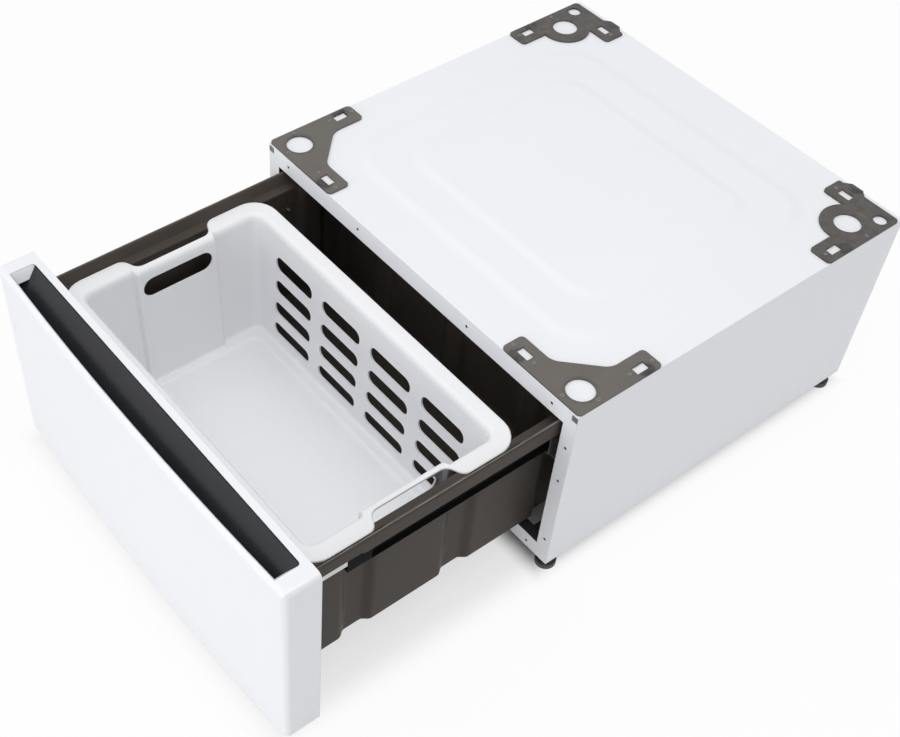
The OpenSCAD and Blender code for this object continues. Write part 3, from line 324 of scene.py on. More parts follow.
def finish(name, color, rough, metallic=0.0, cloud=0.03, peel=420.0, bump=0.02, worn=None,
           wear=0.0, wear_scale=60.0, dusty=None, dust=0.0, dust_scale=160.0, specular=0.5,
           coat=0.0, coat_rough=0.1, clouds=3.0, inner_shade_colour=None, spot_shade_colour=None, rim_light_colours=None):
    """A coated or moulded surface: clouds, peel, worn edges and dust over one base colour. Where
    their colours are given, the cabinet's inner faces carry a painted shade, the brackets painted
    shade round their holes and scoops, and the tub's rims a painted gap shadow and edge highlight."""
    material, t, shader, place = new_material(name)
    coat_node = t.add("ShaderNodeGroup",
                      {"Vector": place, "Peel Scale": peel, "Cloud Scale": clouds, "Cloud": cloud,
                       "Base Roughness": rough, "Roughness Spread": ROUGHNESS_SPREAD},
                      node_tree=COAT)
    share = t.math("ADD", coat_node.outputs["Shade"], MIDDLE, True)
    surface = t.mix(share, shade(color, -SWING), shade(color, SWING))
    # Painted shade: the cabinet's inner faces take a near-black colour
    if inner_shade_colour:
        surface = t.mix(inner_mask(t, place), surface, (*inner_shade_colour, 1.0))
    # Painted shade round the brackets' holes and scoops
    if spot_shade_colour:
        shade_spots = t.add("ShaderNodeGroup", {"Vector": place}, node_tree=BRACKET_SHADE)
        surface = t.mix(shade_spots.outputs["Mask"], surface, (*spot_shade_colour, 1.0))
    # Painted light on the rims: a painted shadow line in the gap and a painted highlight on the
    # edge
    if rim_light_colours:
        lines = t.add("ShaderNodeGroup", {"Vector": place}, node_tree=RIM_SHADE_AND_HIGHLIGHT)
        surface = t.mix(lines.outputs["Gap"], surface, (*rim_light_colours[0], 1.0))
        surface = t.mix(lines.outputs["Edge"], surface, (*rim_light_colours[1], 1.0))
    if dusty:
        spots = t.add("ShaderNodeGroup", {"Vector": place, "Scale": dust_scale, "Amount": dust},
                      node_tree=DUST)
        surface = t.mix(spots.outputs["Mask"], surface, (*dusty, 1.0))
    edge = t.add("ShaderNodeGroup", {"Vector": place, "Amount": wear, "Scale": wear_scale,
                                     "Radius": EDGE_RADIUS}, node_tree=EDGE_WEAR)
    surface = t.mix(edge.outputs["Mask"], surface, (*(worn or color), 1.0))
    t.tree.links.new(surface, shader.inputs["Base Color"])
    t.tree.links.new(coat_node.outputs["Roughness"], shader.inputs["Roughness"])
    relief = t.add("ShaderNodeBump", {"Strength": bump, "Distance": BUMP_DISTANCE,
                                      "Height": coat_node.outputs["Height"],
                                      "Normal": edge.outputs["Normal"]})
    t.tree.links.new(relief.outputs["Normal"], shader.inputs["Normal"])
    shader.inputs["Metallic"].default_value = metallic
    shader.inputs["Specular IOR Level"].default_value = specular
    shader.inputs["Coat Weight"].default_value = coat
    shader.inputs["Coat Roughness"].default_value = coat_rough
    return material


# The zinc's inner colour and its share are painted shade on the zinc inside the cabinet
ZINC = {"spangle": 90.0, "tones": (-0.09, 0.07), "grain": 700.0, "inner": (0.05, 0.05, 0.05, 1.0),
        "inner_shade_share": 0.7, "tone_rough": 0.12, "grain_rough": 0.08, "metallic": 0.75,
        "bump": 0.05, "bump_distance": 0.0004}


def galvanised(name, color, rough):
    """Zinc coat: crystals of slightly different tone and roughness, with painted shade inside the
    cabinet.
    """
    material, t, shader, place = new_material(name)
    crystal = t.add("ShaderNodeTexVoronoi", {"Vector": place, "Scale": ZINC["spangle"]},
                    feature="F1")
    tone = t.add("ShaderNodeSeparateColor", {"Color": crystal.outputs["Color"]}).outputs[0]
    grain = t.noise(place, ZINC["grain"], detail=3.0)
    surface = t.mix(tone, *(shade(color, change) for change in ZINC["tones"]))
    # Painted shade: the zinc inside the cabinet is darkened towards near black
    inner = t.math("MULTIPLY", inner_mask(t, place), ZINC["inner_shade_share"])
    t.tree.links.new(t.mix(inner, surface, ZINC["inner"]), shader.inputs["Base Color"])
    t.tree.links.new(t.math("ADD", t.math("MULTIPLY", tone, ZINC["tone_rough"]),
                            t.math("ADD", t.math("MULTIPLY", grain, ZINC["grain_rough"]), rough)),
                     shader.inputs["Roughness"])
    relief = t.add("ShaderNodeBump", {"Strength": ZINC["bump"], "Distance": ZINC["bump_distance"],
                                      "Height": grain})
    t.tree.links.new(relief.outputs["Normal"], shader.inputs["Normal"])
    shader.inputs["Metallic"].default_value = ZINC["metallic"]
    return material


WARM_DARK = (0.124, 0.114, 0.102)
FINISH = {
    # White enamel: its near-black colour on the cabinet's inner faces is painted shade
    "white_enamel": finish("white_enamel", (0.888, 0.897, 0.937), 0.42, cloud=0.035, bump=0.03,
                           worn=(0.80, 0.81, 0.84), wear=0.35, dusty=(0.78, 0.78, 0.80), dust=0.10,
                           dust_scale=220.0, coat=0.1, coat_rough=0.2,
                           inner_shade_colour=(0.045, 0.045, 0.048)),
    "back_sheet": finish("back_sheet", (0.70, 0.71, 0.73), 0.5, cloud=0.06, bump=0.05,
                         worn=(0.5, 0.5, 0.52), wear=0.4, dusty=(0.55, 0.55, 0.56), dust=0.2),
    # Bracket enamel: its near-black spots round the holes and scoops are painted shade
    "bracket_enamel": finish("bracket_enamel", WARM_DARK, 0.46, cloud=0.35, clouds=22.0, peel=520.0,
                             bump=0.25, worn=(0.035, 0.032, 0.029), wear=0.8, wear_scale=140.0,
                             dusty=(0.26, 0.25, 0.23), dust=0.35, dust_scale=300.0, specular=0.4,
                             spot_shade_colour=(0.036, 0.032, 0.031)),
    # Tub enamel: its two rim line colours are a painted gap shadow and a painted edge highlight
    "tub_enamel": finish("tub_enamel", (0.071, 0.061, 0.053), 0.40, cloud=0.35, clouds=9.0,
                         peel=380.0, bump=0.12, worn=(0.22, 0.20, 0.18), wear=0.6,
                         wear_scale=60.0, dusty=(0.13, 0.12, 0.11), dust=0.12, dust_scale=210.0,
                         specular=0.06, rim_light_colours=((0.006, 0.005, 0.004), (0.22, 0.205, 0.19))),
    "zinc_steel": galvanised("zinc_steel", (0.62, 0.64, 0.62), 0.34),
    "screw_steel": finish("screw_steel", (0.25, 0.245, 0.235), 0.45, metallic=0.5, cloud=0.3,
                          clouds=200.0, bump=0.1, worn=(0.4, 0.39, 0.37), wear=0.6),
    "black_steel": finish("black_steel", (0.009, 0.0085, 0.008), 0.42, cloud=0.3, clouds=30.0,
                          bump=0.08, worn=(0.09, 0.088, 0.085), wear=0.5, dusty=(0.06, 0.06, 0.06),
                          dust=0.2, specular=0.2),
    "cage_brass": finish("cage_brass", (0.58, 0.46, 0.24), 0.35, metallic=0.9, cloud=0.2,
                         clouds=60.0, bump=0.05, worn=(0.75, 0.64, 0.42), wear=0.5),
    "ball_steel": finish("ball_steel", (0.78, 0.78, 0.79), 0.12, metallic=1.0, cloud=0.05,
                         clouds=300.0, bump=0.01, dusty=(0.35, 0.34, 0.32), dust=0.15),
    "grey_plastic": finish("grey_plastic", (0.15, 0.15, 0.155), 0.5, cloud=0.2, clouds=60.0,
                           peel=900.0, bump=0.25, worn=(0.3, 0.3, 0.31), wear=0.4),
    "black_plastic": finish("black_plastic", (0.021, 0.022, 0.026), 0.24, cloud=0.25,
                            clouds=14.0, peel=1500.0, bump=0.10, worn=(0.06, 0.062, 0.068),
                            wear=0.4, dusty=(0.05, 0.052, 0.056), dust=0.10, dust_scale=260.0,
                            specular=0.42),
    "clip_plastic": finish("clip_plastic", (0.006, 0.0065, 0.0065), 0.55, cloud=0.3, clouds=40.0,
                           peel=1200.0, bump=0.12, worn=(0.05, 0.05, 0.05), wear=0.4,
                           dusty=(0.05, 0.05, 0.05), dust=0.1, specular=0.03),
    "white_plastic": finish("white_plastic", (0.892, 0.896, 0.918), 0.42, cloud=0.04, clouds=5.0,
                            peel=1100.0, bump=0.10, worn=(0.93, 0.93, 0.94), wear=0.3,
                            dusty=(0.72, 0.72, 0.73), dust=0.12, dust_scale=240.0),
    "foot_rubber": finish("foot_rubber", (0.065, 0.065, 0.068), 0.6, cloud=0.3, clouds=80.0,
                          peel=900.0, bump=0.4, worn=(0.11, 0.11, 0.115), wear=0.5,
                          dusty=(0.14, 0.14, 0.14), dust=0.3, dust_scale=400.0),
    "bumper_rubber": finish("bumper_rubber", (0.03, 0.03, 0.03), 0.7, cloud=0.2, clouds=80.0,
                            peel=900.0, bump=0.4, worn=(0.08, 0.08, 0.08), wear=0.4),
}


SMOOTH_ANGLE = math.radians(35)


def smooth_group():
    """Shades smooth except across edges sharper than the smooth angle."""
    tree = bpy.data.node_groups.new("smooth_by_angle", "GeometryNodeTree")
    tree.interface.new_socket("Geometry", in_out="INPUT", socket_type="NodeSocketGeometry")
    tree.interface.new_socket("Geometry", in_out="OUTPUT", socket_type="NodeSocketGeometry")
    start = tree.nodes.new("NodeGroupInput")
    end = tree.nodes.new("NodeGroupOutput")
    angle = tree.nodes.new("GeometryNodeInputMeshEdgeAngle")
    sharp = tree.nodes.new("FunctionNodeCompare")
    sharp.inputs[1].default_value = SMOOTH_ANGLE
    faces = tree.nodes.new("GeometryNodeSetShadeSmooth")
    edges = tree.nodes.new("GeometryNodeSetShadeSmooth")
    edges.domain = "EDGE"
    edges.inputs["Shade Smooth"].default_value = False
    link = tree.links.new
    link(start.outputs[0], faces.inputs["Geometry"])
    link(faces.outputs[0], edges.inputs["Geometry"])
    link(angle.outputs["Unsigned Angle"], sharp.inputs[0])
    link(sharp.outputs[0], edges.inputs["Selection"])
    link(edges.outputs[0], end.inputs[0])
    return tree


SMOOTH = smooth_group()
WELD_REACH = 0.00001
BEVEL_ANGLE = 32


def soften(piece, width, weld=True, angle=BEVEL_ANGLE):
    """Welds a piece's loose triangles and rounds by width metres its edges that are sharper than
    the angle in degrees."""
    if weld:
        piece.modifiers.new("weld", "WELD").merge_threshold = WELD_REACH
    if width:
        bevel = piece.modifiers.new("bevel", "BEVEL")
        bevel.width = width
        bevel.segments = 2
        bevel.limit_method = "ANGLE"
        bevel.angle_limit = math.radians(angle)
    piece.modifiers.new("shading", "NODES").node_group = SMOOTH
    piece.modifiers.new("level", "WEIGHTED_NORMAL").keep_sharp = True


# Pieces with rounded edges of their own, in mm; sheets only have their edges rounded in shading
EDGE = {"left_slide_clip": 1.2, "right_slide_clip": 1.2, "drawer_bumpers": 0.8, "foot_nuts": 0.6,
        "front_left_foot_pad": 1.2, "front_right_foot_pad": 1.2, "rear_left_foot_pad": 1.2,
        "rear_right_foot_pad": 1.2}


def dress_nodes():
    """Gives each CAD node the finish of its slot and soft shading."""
    for name, node in NODES.items():
        node.data.materials.clear()
        node.data.materials.append(FINISH[SLOT_OF[name]])
        soften(node, EDGE.get(name, 0) * MM)


def make_piece(name, points, faces, body, slot, replaces=()):
    """A smooth mesh that rides a body and takes the place of the CAD nodes that it names."""
    mesh = bpy.data.meshes.new(name)
    mesh.from_pydata(points.tolist(), [], faces)
    mesh.update()
    mesh.polygons.foreach_set("use_smooth", [True] * len(mesh.polygons))
    piece = bpy.data.objects.new(name, mesh)
    SCENE.collection.objects.link(piece)
    piece.data.materials.append(FINISH[slot])
    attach(piece, body)
    if replaces:
        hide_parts(*replaces)
    return piece


def gather(parts):
    """Joins (points, faces) parts into the points and faces of one mesh."""
    points, faces, start = [], [], 0
    for part, part_faces in parts:
        points.append(part)
        faces += [[i + start for i in face] for face in part_faces]
        start += len(part)
    return np.concatenate(points), faces


def grid_faces(rows, columns, closed_columns=False):
    """Quads of a grid of rows by columns, as indices of its flattened points."""
    r = np.arange(rows - 1)[:, None]
    c = np.arange(columns if closed_columns else columns - 1)[None, :]
    n = (c + 1) % columns
    return np.stack([r * columns + c, r * columns + n, (r + 1) * columns + n,
                     (r + 1) * columns + c], axis=-1).reshape(-1, 4)


def smoothstep(value):
    """0 to 1 with soft ends as a value goes from 0 to 1."""
    value = np.clip(value, 0.0, 1.0)
    return value * value * (3 - 2 * value)


# Below this two directions are opposite, and two points of a mesh (in metres) are one
TINY = 1e-6
LINE_STEPS = 6


def corner_arc(before, corner, after, radius, steps):
    """The arc of one radius that touches both lines of a corner, or a short straight where the
    three points lie on one line."""
    a = (before - corner) / np.linalg.norm(before - corner)
    b = (after - corner) / np.linalg.norm(after - corner)
    if np.linalg.norm(a + b) < TINY:
        return corner + b * np.linspace(-1.0, 1.0, steps)[:, None]
    half = math.acos(float(np.clip(a @ b, -1, 1))) / 2
    centre = corner + (a + b) / np.linalg.norm(a + b) * radius / math.sin(half)
    start = corner + a * radius / math.tan(half) - centre
    stop = corner + b * radius / math.tan(half) - centre
    first = math.atan2(start[1], start[0])
    turn = (math.atan2(stop[1], stop[0]) - first + math.pi) % (2 * math.pi) - math.pi
    angle = first + turn * np.linspace(0, 1, steps)
    return centre + radius * np.stack([np.cos(angle), np.sin(angle)], axis=1)


def rounded_loop(path, steps=8, runs=3):
    """A closed outline from corners of x, y, radius: an arc at each corner, then evenly spaced
    points on the straight to the next one. Paths of the same corner count match point by point."""
    path = np.asarray(path, float)
    ahead = np.roll(path, -1, axis=0)
    behind = np.roll(path, 1, axis=0)
    arcs = [corner_arc(p[:2], c[:2], n[:2], c[2], steps)
            for p, c, n in zip(behind, path, ahead)]
    parts = []
    for arc, following in zip(arcs, arcs[1:] + arcs[:1]):
        share = np.linspace(0, 1, runs + 2)[1:-1, None]
        parts += [arc, arc[-1] * (1 - share) + following[0] * share]
    return np.concatenate(parts)


def open_line(points):
    """An open outline from corners of x, y, radius, with an arc at each inner corner."""
    points = np.asarray(points, float)
    inner = [corner_arc(points[i - 1, :2], points[i, :2], points[i + 1, :2], points[i, 2],
                        LINE_STEPS) for i in range(1, len(points) - 1)]
    return np.concatenate([points[:1, :2], *inner, points[-1:, :2]])


def loft(rows):
    """Stacks loops of (outline, height) into points, one row for each loop."""
    return np.concatenate([np.column_stack([loop, np.full(len(loop), z)]) for loop, z in rows])


def face_outwards(piece):
    """Turns the faces of a closed mesh outwards."""
    mesh = bmesh.new()
    mesh.from_mesh(piece.data)
    bmesh.ops.remove_doubles(mesh, verts=mesh.verts, dist=TINY)
    bmesh.ops.recalc_face_normals(mesh, faces=mesh.faces)
    mesh.to_mesh(piece.data)
    mesh.free()


def quarter(radius, steps):
    """(inset, rise) pairs round a quarter circle, from level to upright."""
    angle = np.linspace(0, math.pi / 2, steps)
    return list(zip(radius * (1 - np.sin(angle)), radius * (1 - np.cos(angle))))


# The basket. On each long side BUMP is a step of the wall's outline, and GRIP one of the rim's.
BASKET_LOW, BASKET_HIGH = (np.array(c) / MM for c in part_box("laundry_basket"))
BASKET_TOP = BASKET_HIGH[2]
BASKET_MID_Y = (BASKET_LOW[1] + BASKET_HIGH[1]) / 2
RIM_WIDTH = 30.0
RIM_END_WIDTH = 27.0
RIM_DEPTH = 4.0
RIM_CORNER = 40.0
BASKET_WALL = 3.0
BASKET_LEAN = 0.04
MOUTH_CORNER = 14.0
MOUTH_ROUND = 10.0
BUMP = {"mid": 1.5, "length": 135.0, "slope": 4.0, "depth": 8.0, "round": 3.0}
GRIP = {"mid": 5.0, "length": 124.0, "slope": 11.0, "depth": 26.0, "round": 16.0}
FLOOR_STEP = 3.0
FLOOR_STEP_WIDTH = 9.0
FLOOR_BORDER = 17.0
FLOOR_SIDE = 10.0
# Radii of the basket's rounded edges, and where its plain wall starts and ends
BASKET_ROUND = {"floor": 5.0, "border": 6.0, "rim": 2.2, "rim_under": 0.8, "under": 2.0,
                "base": 6.0}
BASKET_PLAIN = {"inner_start": 9.0, "outer_start": 12.0}
BASKET_STEPS = {"bend": 5, "floor": 8, "inner": 9, "mouth": 9, "outer": 8}
BASKET_BEVEL = 0.9
BASKET_BEVEL_ANGLE = 50
HAND_HOLE = {"length": 120.0, "height": 34.0, "drop": 37.0, "radius": 16.9}
SLOTS = {"columns": 4, "rows": 4, "pitch": 116.0, "length": 91.0, "height": 28.0, "share": 0.937,
         "web": 19.2, "first": 60.5, "round": 0.45}


def basket_outline(half_x, low_y, high_y, corner, step, depth=None, inset=0.0):
    """Outline with one inward step on each long side, mirrored about x = 0."""
    mid = BASKET_MID_Y + step["mid"]
    half = step["length"] / 2 + inset
    outer = half + step["slope"]
    depth = step["depth"] if depth is None else depth
    side = [(half_x, mid - outer, step["round"]), (half_x - depth, mid - half, step["round"]),
            (half_x - depth, mid + half, step["round"]), (half_x, mid + outer, step["round"])]
    return rounded_loop([(half_x, low_y, corner), *side, (half_x, high_y, corner),
                         (-half_x, high_y, corner), *[(-x, y, r) for x, y, r in side[::-1]],
                         (-half_x, low_y, corner)])


def basket_wall_loop(grow, z, depth=None):
    """The wall's outline at a height, grown by a distance and drawn in by the lean."""
    fall = (BASKET_TOP - z) * BASKET_LEAN
    half_x = BASKET_HIGH[0] - RIM_WIDTH + grow - fall
    half_y = (BASKET_HIGH[1] - BASKET_LOW[1]) / 2 - RIM_END_WIDTH + grow - fall
    return basket_outline(half_x, BASKET_MID_Y - half_y, BASKET_MID_Y + half_y,
                          MOUTH_CORNER + grow, BUMP, depth)


def basket_rim_loop(inset):
    """The rim's outline, drawn in by an inset."""
    return basket_outline(BASKET_HIGH[0] - inset, BASKET_LOW[1] + inset, BASKET_HIGH[1] - inset,
                          RIM_CORNER - inset, GRIP, inset=inset)


def basket_floor_loop(grow):
    """The sunk middle of the floor: a plain rounded rectangle inside the bumps."""
    fall = (BASKET_TOP - BASKET_LOW[2]) * BASKET_LEAN
    half_x = BASKET_HIGH[0] - RIM_WIDTH - fall - BUMP["depth"] - FLOOR_SIDE + grow
    half_y = (BASKET_HIGH[1] - BASKET_LOW[1]) / 2 - RIM_END_WIDTH - fall - FLOOR_BORDER + grow
    return basket_outline(half_x, BASKET_MID_Y - half_y, BASKET_MID_Y + half_y,
                          FLOOR_BORDER + grow, BUMP, 0.0)


def prism(outline, axis, low, high):
    """A closed prism over an outline of (across, up) along X or Y."""
    count = len(outline)
    ends = []
    for place in (low, high):
        along = np.full(count, place)
        columns = [along, outline[:, 0]] if axis == "x" else [outline[:, 0], along]
        ends.append(np.column_stack([*columns, outline[:, 1]]))
    faces = [list(range(count))[::-1], list(range(count, 2 * count))]
    faces += [[i, (i + 1) % count, (i + 1) % count + count, i + count] for i in range(count)]
    return np.concatenate(ends), faces


def box_corners(x, z, width, height, radius):
    """The corners of a rounded rectangle round x, z, as rounded_loop takes them."""
    return [(x - width / 2, z - height / 2, radius), (x + width / 2, z - height / 2, radius),
            (x + width / 2, z + height / 2, radius), (x - width / 2, z + height / 2, radius)]


def basket_cutters():
    """Prisms of the two hand holes and of the rows of slots in the rear wall."""
    hole = HAND_HOLE
    reach = BASKET_HIGH[0] - RIM_WIDTH + 2 * BASKET_WALL
    corners = box_corners(BASKET_MID_Y + BUMP["mid"], BASKET_TOP - hole["drop"], hole["length"],
                          hole["height"], hole["radius"])
    prisms = [prism(rounded_loop(corners, steps=12, runs=1), "x", -reach, reach)]
    height = SLOTS["height"]
    z = BASKET_TOP - SLOTS["first"]
    for _ in range(SLOTS["rows"]):
        for column in range(SLOTS["columns"]):
            x = (column - (SLOTS["columns"] - 1) / 2) * SLOTS["pitch"]
            corners = box_corners(x, z, SLOTS["length"], height, SLOTS["round"] * height)
            prisms.append(prism(rounded_loop(corners, runs=1), "y", BASKET_MID_Y,
                                BASKET_HIGH[1] - 2 * BASKET_WALL))
        lower = height * SLOTS["share"]
        z -= (height + lower) / 2 + SLOTS["web"]
        height = lower
    return gather(prisms)


def cut(piece, points, faces):
    """Cuts a closed mesh out of a piece and keeps the result as the piece's own mesh."""
    mesh = bpy.data.meshes.new("cutter")
    mesh.from_pydata((points * MM).tolist(), [], faces)
    cutter = bpy.data.objects.new("cutter", mesh)
    SCENE.collection.objects.link(cutter)
    face_outwards(cutter)
    boolean = piece.modifiers.new("cut", "BOOLEAN")
    boolean.operation = "DIFFERENCE"
    boolean.solver = "EXACT"
    boolean.object = cutter
    bpy.context.view_layer.update()
    result = bpy.data.meshes.new_from_object(piece.evaluated_get(
        bpy.context.evaluated_depsgraph_get()))
    piece.modifiers.clear()
    piece.data = result
    bpy.data.objects.remove(cutter)


def make_basket():
    """A loft of matching outlines: sunk floor, raised border, inner wall, rounded mouth, rim,
    and back down the outside to the underside."""
    low, top, wall = BASKET_LOW[2], BASKET_TOP, BASKET_WALL
    bend, steps = BASKET_ROUND, BASKET_STEPS
    floor = low + wall
    border = floor + FLOOR_STEP
    under = top - RIM_DEPTH
    rows = [(basket_floor_loop(FLOOR_STEP - FLOOR_STEP_WIDTH * (1 - share)),
             floor + FLOOR_STEP * float(smoothstep(share)))
            for share in np.linspace(0, 1, steps["floor"])]
    rows.append((basket_wall_loop(-bend["border"], floor), border))
    rows += [(basket_wall_loop(-inset, floor), border + rise)
             for inset, rise in quarter(bend["floor"], steps["bend"])]
    plain = np.linspace(border + BASKET_PLAIN["inner_start"], top - MOUTH_ROUND, steps["inner"])
    rows += [(basket_wall_loop(0.0, z), z) for z in plain]
    rows += [(basket_wall_loop(rise, top), top - inset)
             for inset, rise in quarter(MOUTH_ROUND, steps["mouth"])[:-1]]
    rows += [(basket_rim_loop(bend["rim"] - bend["rim"] * math.sin(a)),
              top - bend["rim"] * (1 - math.cos(a)))
             for a in np.linspace(0, math.pi / 2, steps["bend"])]
    rows += [(basket_rim_loop(0.0), under + bend["rim_under"]),
             (basket_rim_loop(bend["rim_under"]), under),
             (basket_wall_loop(wall + bend["under"], under), under),
             (basket_wall_loop(wall, under), under - bend["under"])]
    plain = np.linspace(under - BASKET_PLAIN["outer_start"], low + bend["base"], steps["outer"])
    rows += [(basket_wall_loop(wall, z), z) for z in plain]
    rows += [(basket_wall_loop(wall - inset, low), low + rise)
             for inset, rise in quarter(bend["base"], steps["bend"])[-2::-1]]
    count = len(rows[0][0])
    faces = grid_faces(len(rows), count, True).tolist()
    faces += [list(range(count)), list(range((len(rows) - 1) * count, len(rows) * count))[::-1]]
    basket = make_piece("basket_moulding", loft(rows) * MM, faces, "basket", "white_plastic",
                        replaces=["laundry_basket"])
    face_outwards(basket)
    cut(basket, *basket_cutters())
    soften(basket, BASKET_BEVEL * MM, weld=False, angle=BASKET_BEVEL_ANGLE)


# The tub. Its wall is a reach in from the rims' outer faces. It ends at the ledge beside the rims,
# where the flutes fade out, and rises to the rims' height at the front and rear, from where a
# corner has turned by the turned share.
TUB_LOW, TUB_HIGH = (np.array(c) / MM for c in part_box("drawer_tub"))
TUB = {"sheet": 1.2, "reach": 22.5, "ledge": 17.0, "lip": 25.0, "flat": 4.0, "corner": 14.0,
       "fillet": 9.0, "flute_depth": 8.0, "flute_width": 56.0, "flute_pitch": 174.0,
       "flute_shift": 15.0, "fade_start": 16.0, "fade": 14.0, "turned": 0.375, "tail": 2.0,
       "bare_length": 88.0, "bare_rise": 4.5}
TUB_BENDS = {"foot": 1.5, "ledge": 4.0, "inner": 2.4, "outer": 2.2}
FLUTES = (-1, 0, 1)
SIDE_POINTS = 122
REAR_POINTS = 138
RIM_POINTS = 120
TUB_STEPS = {"corner": 9, "fillet": 6, "wall": 16}


def flute_depth(along, places):
    """Depth of the soft flutes: one flat-topped pulse with smooth flanks for each place."""
    away = np.abs(np.asarray(along)[:, None] - np.asarray(places)[None, :])
    half = TUB["flute_width"] / 2
    return TUB["flute_depth"] * smoothstep((half - away) / (half / 2)).max(axis=1)


def tub_loop():
    """The wall's outline with its outward normals and flute depths, counter-clockwise."""
    half_x = TUB_HIGH[0] - TUB["reach"]
    low_y, high_y, r = TUB_LOW[1], TUB_HIGH[1], TUB["corner"]
    mid_y = (low_y + high_y) / 2 + TUB["flute_shift"]
    places = [mid_y + i * TUB["flute_pitch"] for i in FLUTES]
    across = [i * TUB["flute_pitch"] for i in FLUTES]
    side = np.linspace(low_y + r, high_y - r, SIDE_POINTS)
    span = np.linspace(half_x - r, -half_x + r, REAR_POINTS)
    arc = np.linspace(0, math.pi / 2, TUB_STEPS["corner"])[1:-1]
    none = np.zeros_like(arc)
    parts = []

    def add(points, normals, depth):
        parts.append(np.column_stack([points, normals, depth]))

    def corner(cx, cy, start):
        direction = np.column_stack([np.cos(arc + start), np.sin(arc + start)])
        add(np.array([cx, cy]) + r * direction, direction, none)

    add(np.column_stack([np.full_like(side, half_x), side]),
        np.tile([1.0, 0.0], (len(side), 1)), flute_depth(side, places))
    corner(half_x - r, high_y - r, 0)
    add(np.column_stack([span, np.full_like(span, high_y)]),
        np.tile([0.0, 1.0], (len(span), 1)), flute_depth(span, across))
    corner(-half_x + r, high_y - r, math.pi / 2)
    add(np.column_stack([np.full_like(side, -half_x), side[::-1]]),
        np.tile([-1.0, 0.0], (len(side), 1)), flute_depth(side[::-1], places))
    corner(-half_x + r, low_y + r, math.pi)
    # The front wall has no flutes, so every fourth point is enough
    front = span[::-4]
    add(np.column_stack([front, np.full_like(front, low_y)]),
        np.tile([0.0, -1.0], (len(front), 1)), np.zeros_like(front))
    corner(half_x - r, low_y + r, 1.5 * math.pi)
    loop = np.concatenate(parts)
    return loop[:, :2], loop[:, 2:4], loop[:, 4]


def solidify(piece, thickness):
    """Gives a skin its thickness, on the back of its faces."""
    wall = piece.modifiers.new("wall", "SOLIDIFY")
    wall.thickness = thickness
    wall.offset = -1.0
    wall.use_even_offset = True
    wall.use_rim = True


def make_bowl():
    """The outline drawn in by its flutes, over a filleted floor; the front and rear walls rise to
    the rim."""
    points, normals, depth = tub_loop()
    low = TUB_LOW[2]
    ledge = TUB_HIGH[2] - TUB["ledge"]
    turn = (np.abs(normals[:, 1]) - TUB["turned"]) / (1 - TUB["turned"])
    top = ledge + TUB["ledge"] * smoothstep(turn)
    rows = []
    for inset, rise in quarter(TUB["fillet"], TUB_STEPS["fillet"]):
        rows.append(np.column_stack([points - normals * (depth + inset)[:, None],
                                     np.full(len(points), low + rise)]))
    for share in np.linspace(0, 1, TUB_STEPS["wall"])[1:]:
        z = low + TUB["fillet"] + (top - low - TUB["fillet"]) * share
        fade = 1 - smoothstep((z - ledge + TUB["fade_start"]) / TUB["fade"])
        rows.append(np.column_stack([points - normals * (depth * fade)[:, None], z]))
    count = len(points)
    faces = grid_faces(len(rows), count, True).tolist() + [list(range(count))[::-1]]
    bowl = make_piece("tub_bowl", np.concatenate(rows) * MM, faces, "drawer", "tub_enamel",
                      replaces=["drawer_tub"])
    solidify(bowl, TUB["sheet"] * MM)
    soften(bowl, 0, weld=False)


def make_rims():
    """Each rolled rim is one profile carried along the drawer."""
    inner_x = TUB_HIGH[0] - TUB["reach"] - TUB["sheet"]
    lip_x, rim = TUB_HIGH[0], TUB_HIGH[2]
    ledge, bend = rim - TUB["ledge"], TUB_BENDS
    profile = open_line([(inner_x, ledge - TUB["tail"], 0), (inner_x, ledge, bend["foot"]),
                         (lip_x - TUB["reach"] / 2, ledge, bend["ledge"]),
                         (lip_x - TUB["flat"], rim, bend["inner"]), (lip_x, rim, bend["outer"]),
                         (lip_x, rim - TUB["lip"], 0)])
    along = np.linspace(TUB_LOW[1], TUB_HIGH[1], RIM_POINTS)
    bare = TUB["bare_rise"] * smoothstep((TUB_LOW[1] + TUB["bare_length"] - along) / TUB["flat"])
    size = (len(along), len(profile))
    faces = grid_faces(*size)
    for side, sign in (("right", 1), ("left", -1)):
        grid = np.stack([np.broadcast_to(sign * profile[None, :, 0], size),
                         np.broadcast_to(along[:, None], size),
                         np.broadcast_to(profile[None, :, 1], size)], axis=-1)
        grid[:, -1, 2] += bare
        rolled = make_piece(f"tub_{side}_rim", grid.reshape(-1, 3) * MM,
                            faces[:, ::-sign].tolist(), "drawer", "tub_enamel")
        solidify(rolled, TUB["sheet"] * MM)
        soften(rolled, 0, weld=False)


# The pressed fields: an outer and an inner one of width, depth and corner radius. Their skin starts
# below the deck, a margin beyond the outer slope.
TOP_LOW, TOP_HIGH = (np.array(c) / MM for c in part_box("top_panel"))
FIELD = {"rise": 2.0, "slope": 22.0, "shift": -6.0, "lift": 0.03, "outer": (492.0, 450.0, 52.0),
         "inner": (372.0, 313.0, 30.0), "margin": 4.0, "sunk": 0.3, "past": 1.0, "skin": 0.3}
SLOPE_STEPS = 12


def field_loop(size, grow):
    """A field's outline from its width, depth and corner radius, grown by a distance."""
    width, depth, radius = size
    half_x, half_y = width / 2 + grow, depth / 2 + grow
    y = FIELD["shift"]
    return rounded_loop([(half_x, y - half_y, radius + grow), (half_x, y + half_y, radius + grow),
                         (-half_x, y + half_y, radius + grow),
                         (-half_x, y - half_y, radius + grow)], steps=24, runs=20)


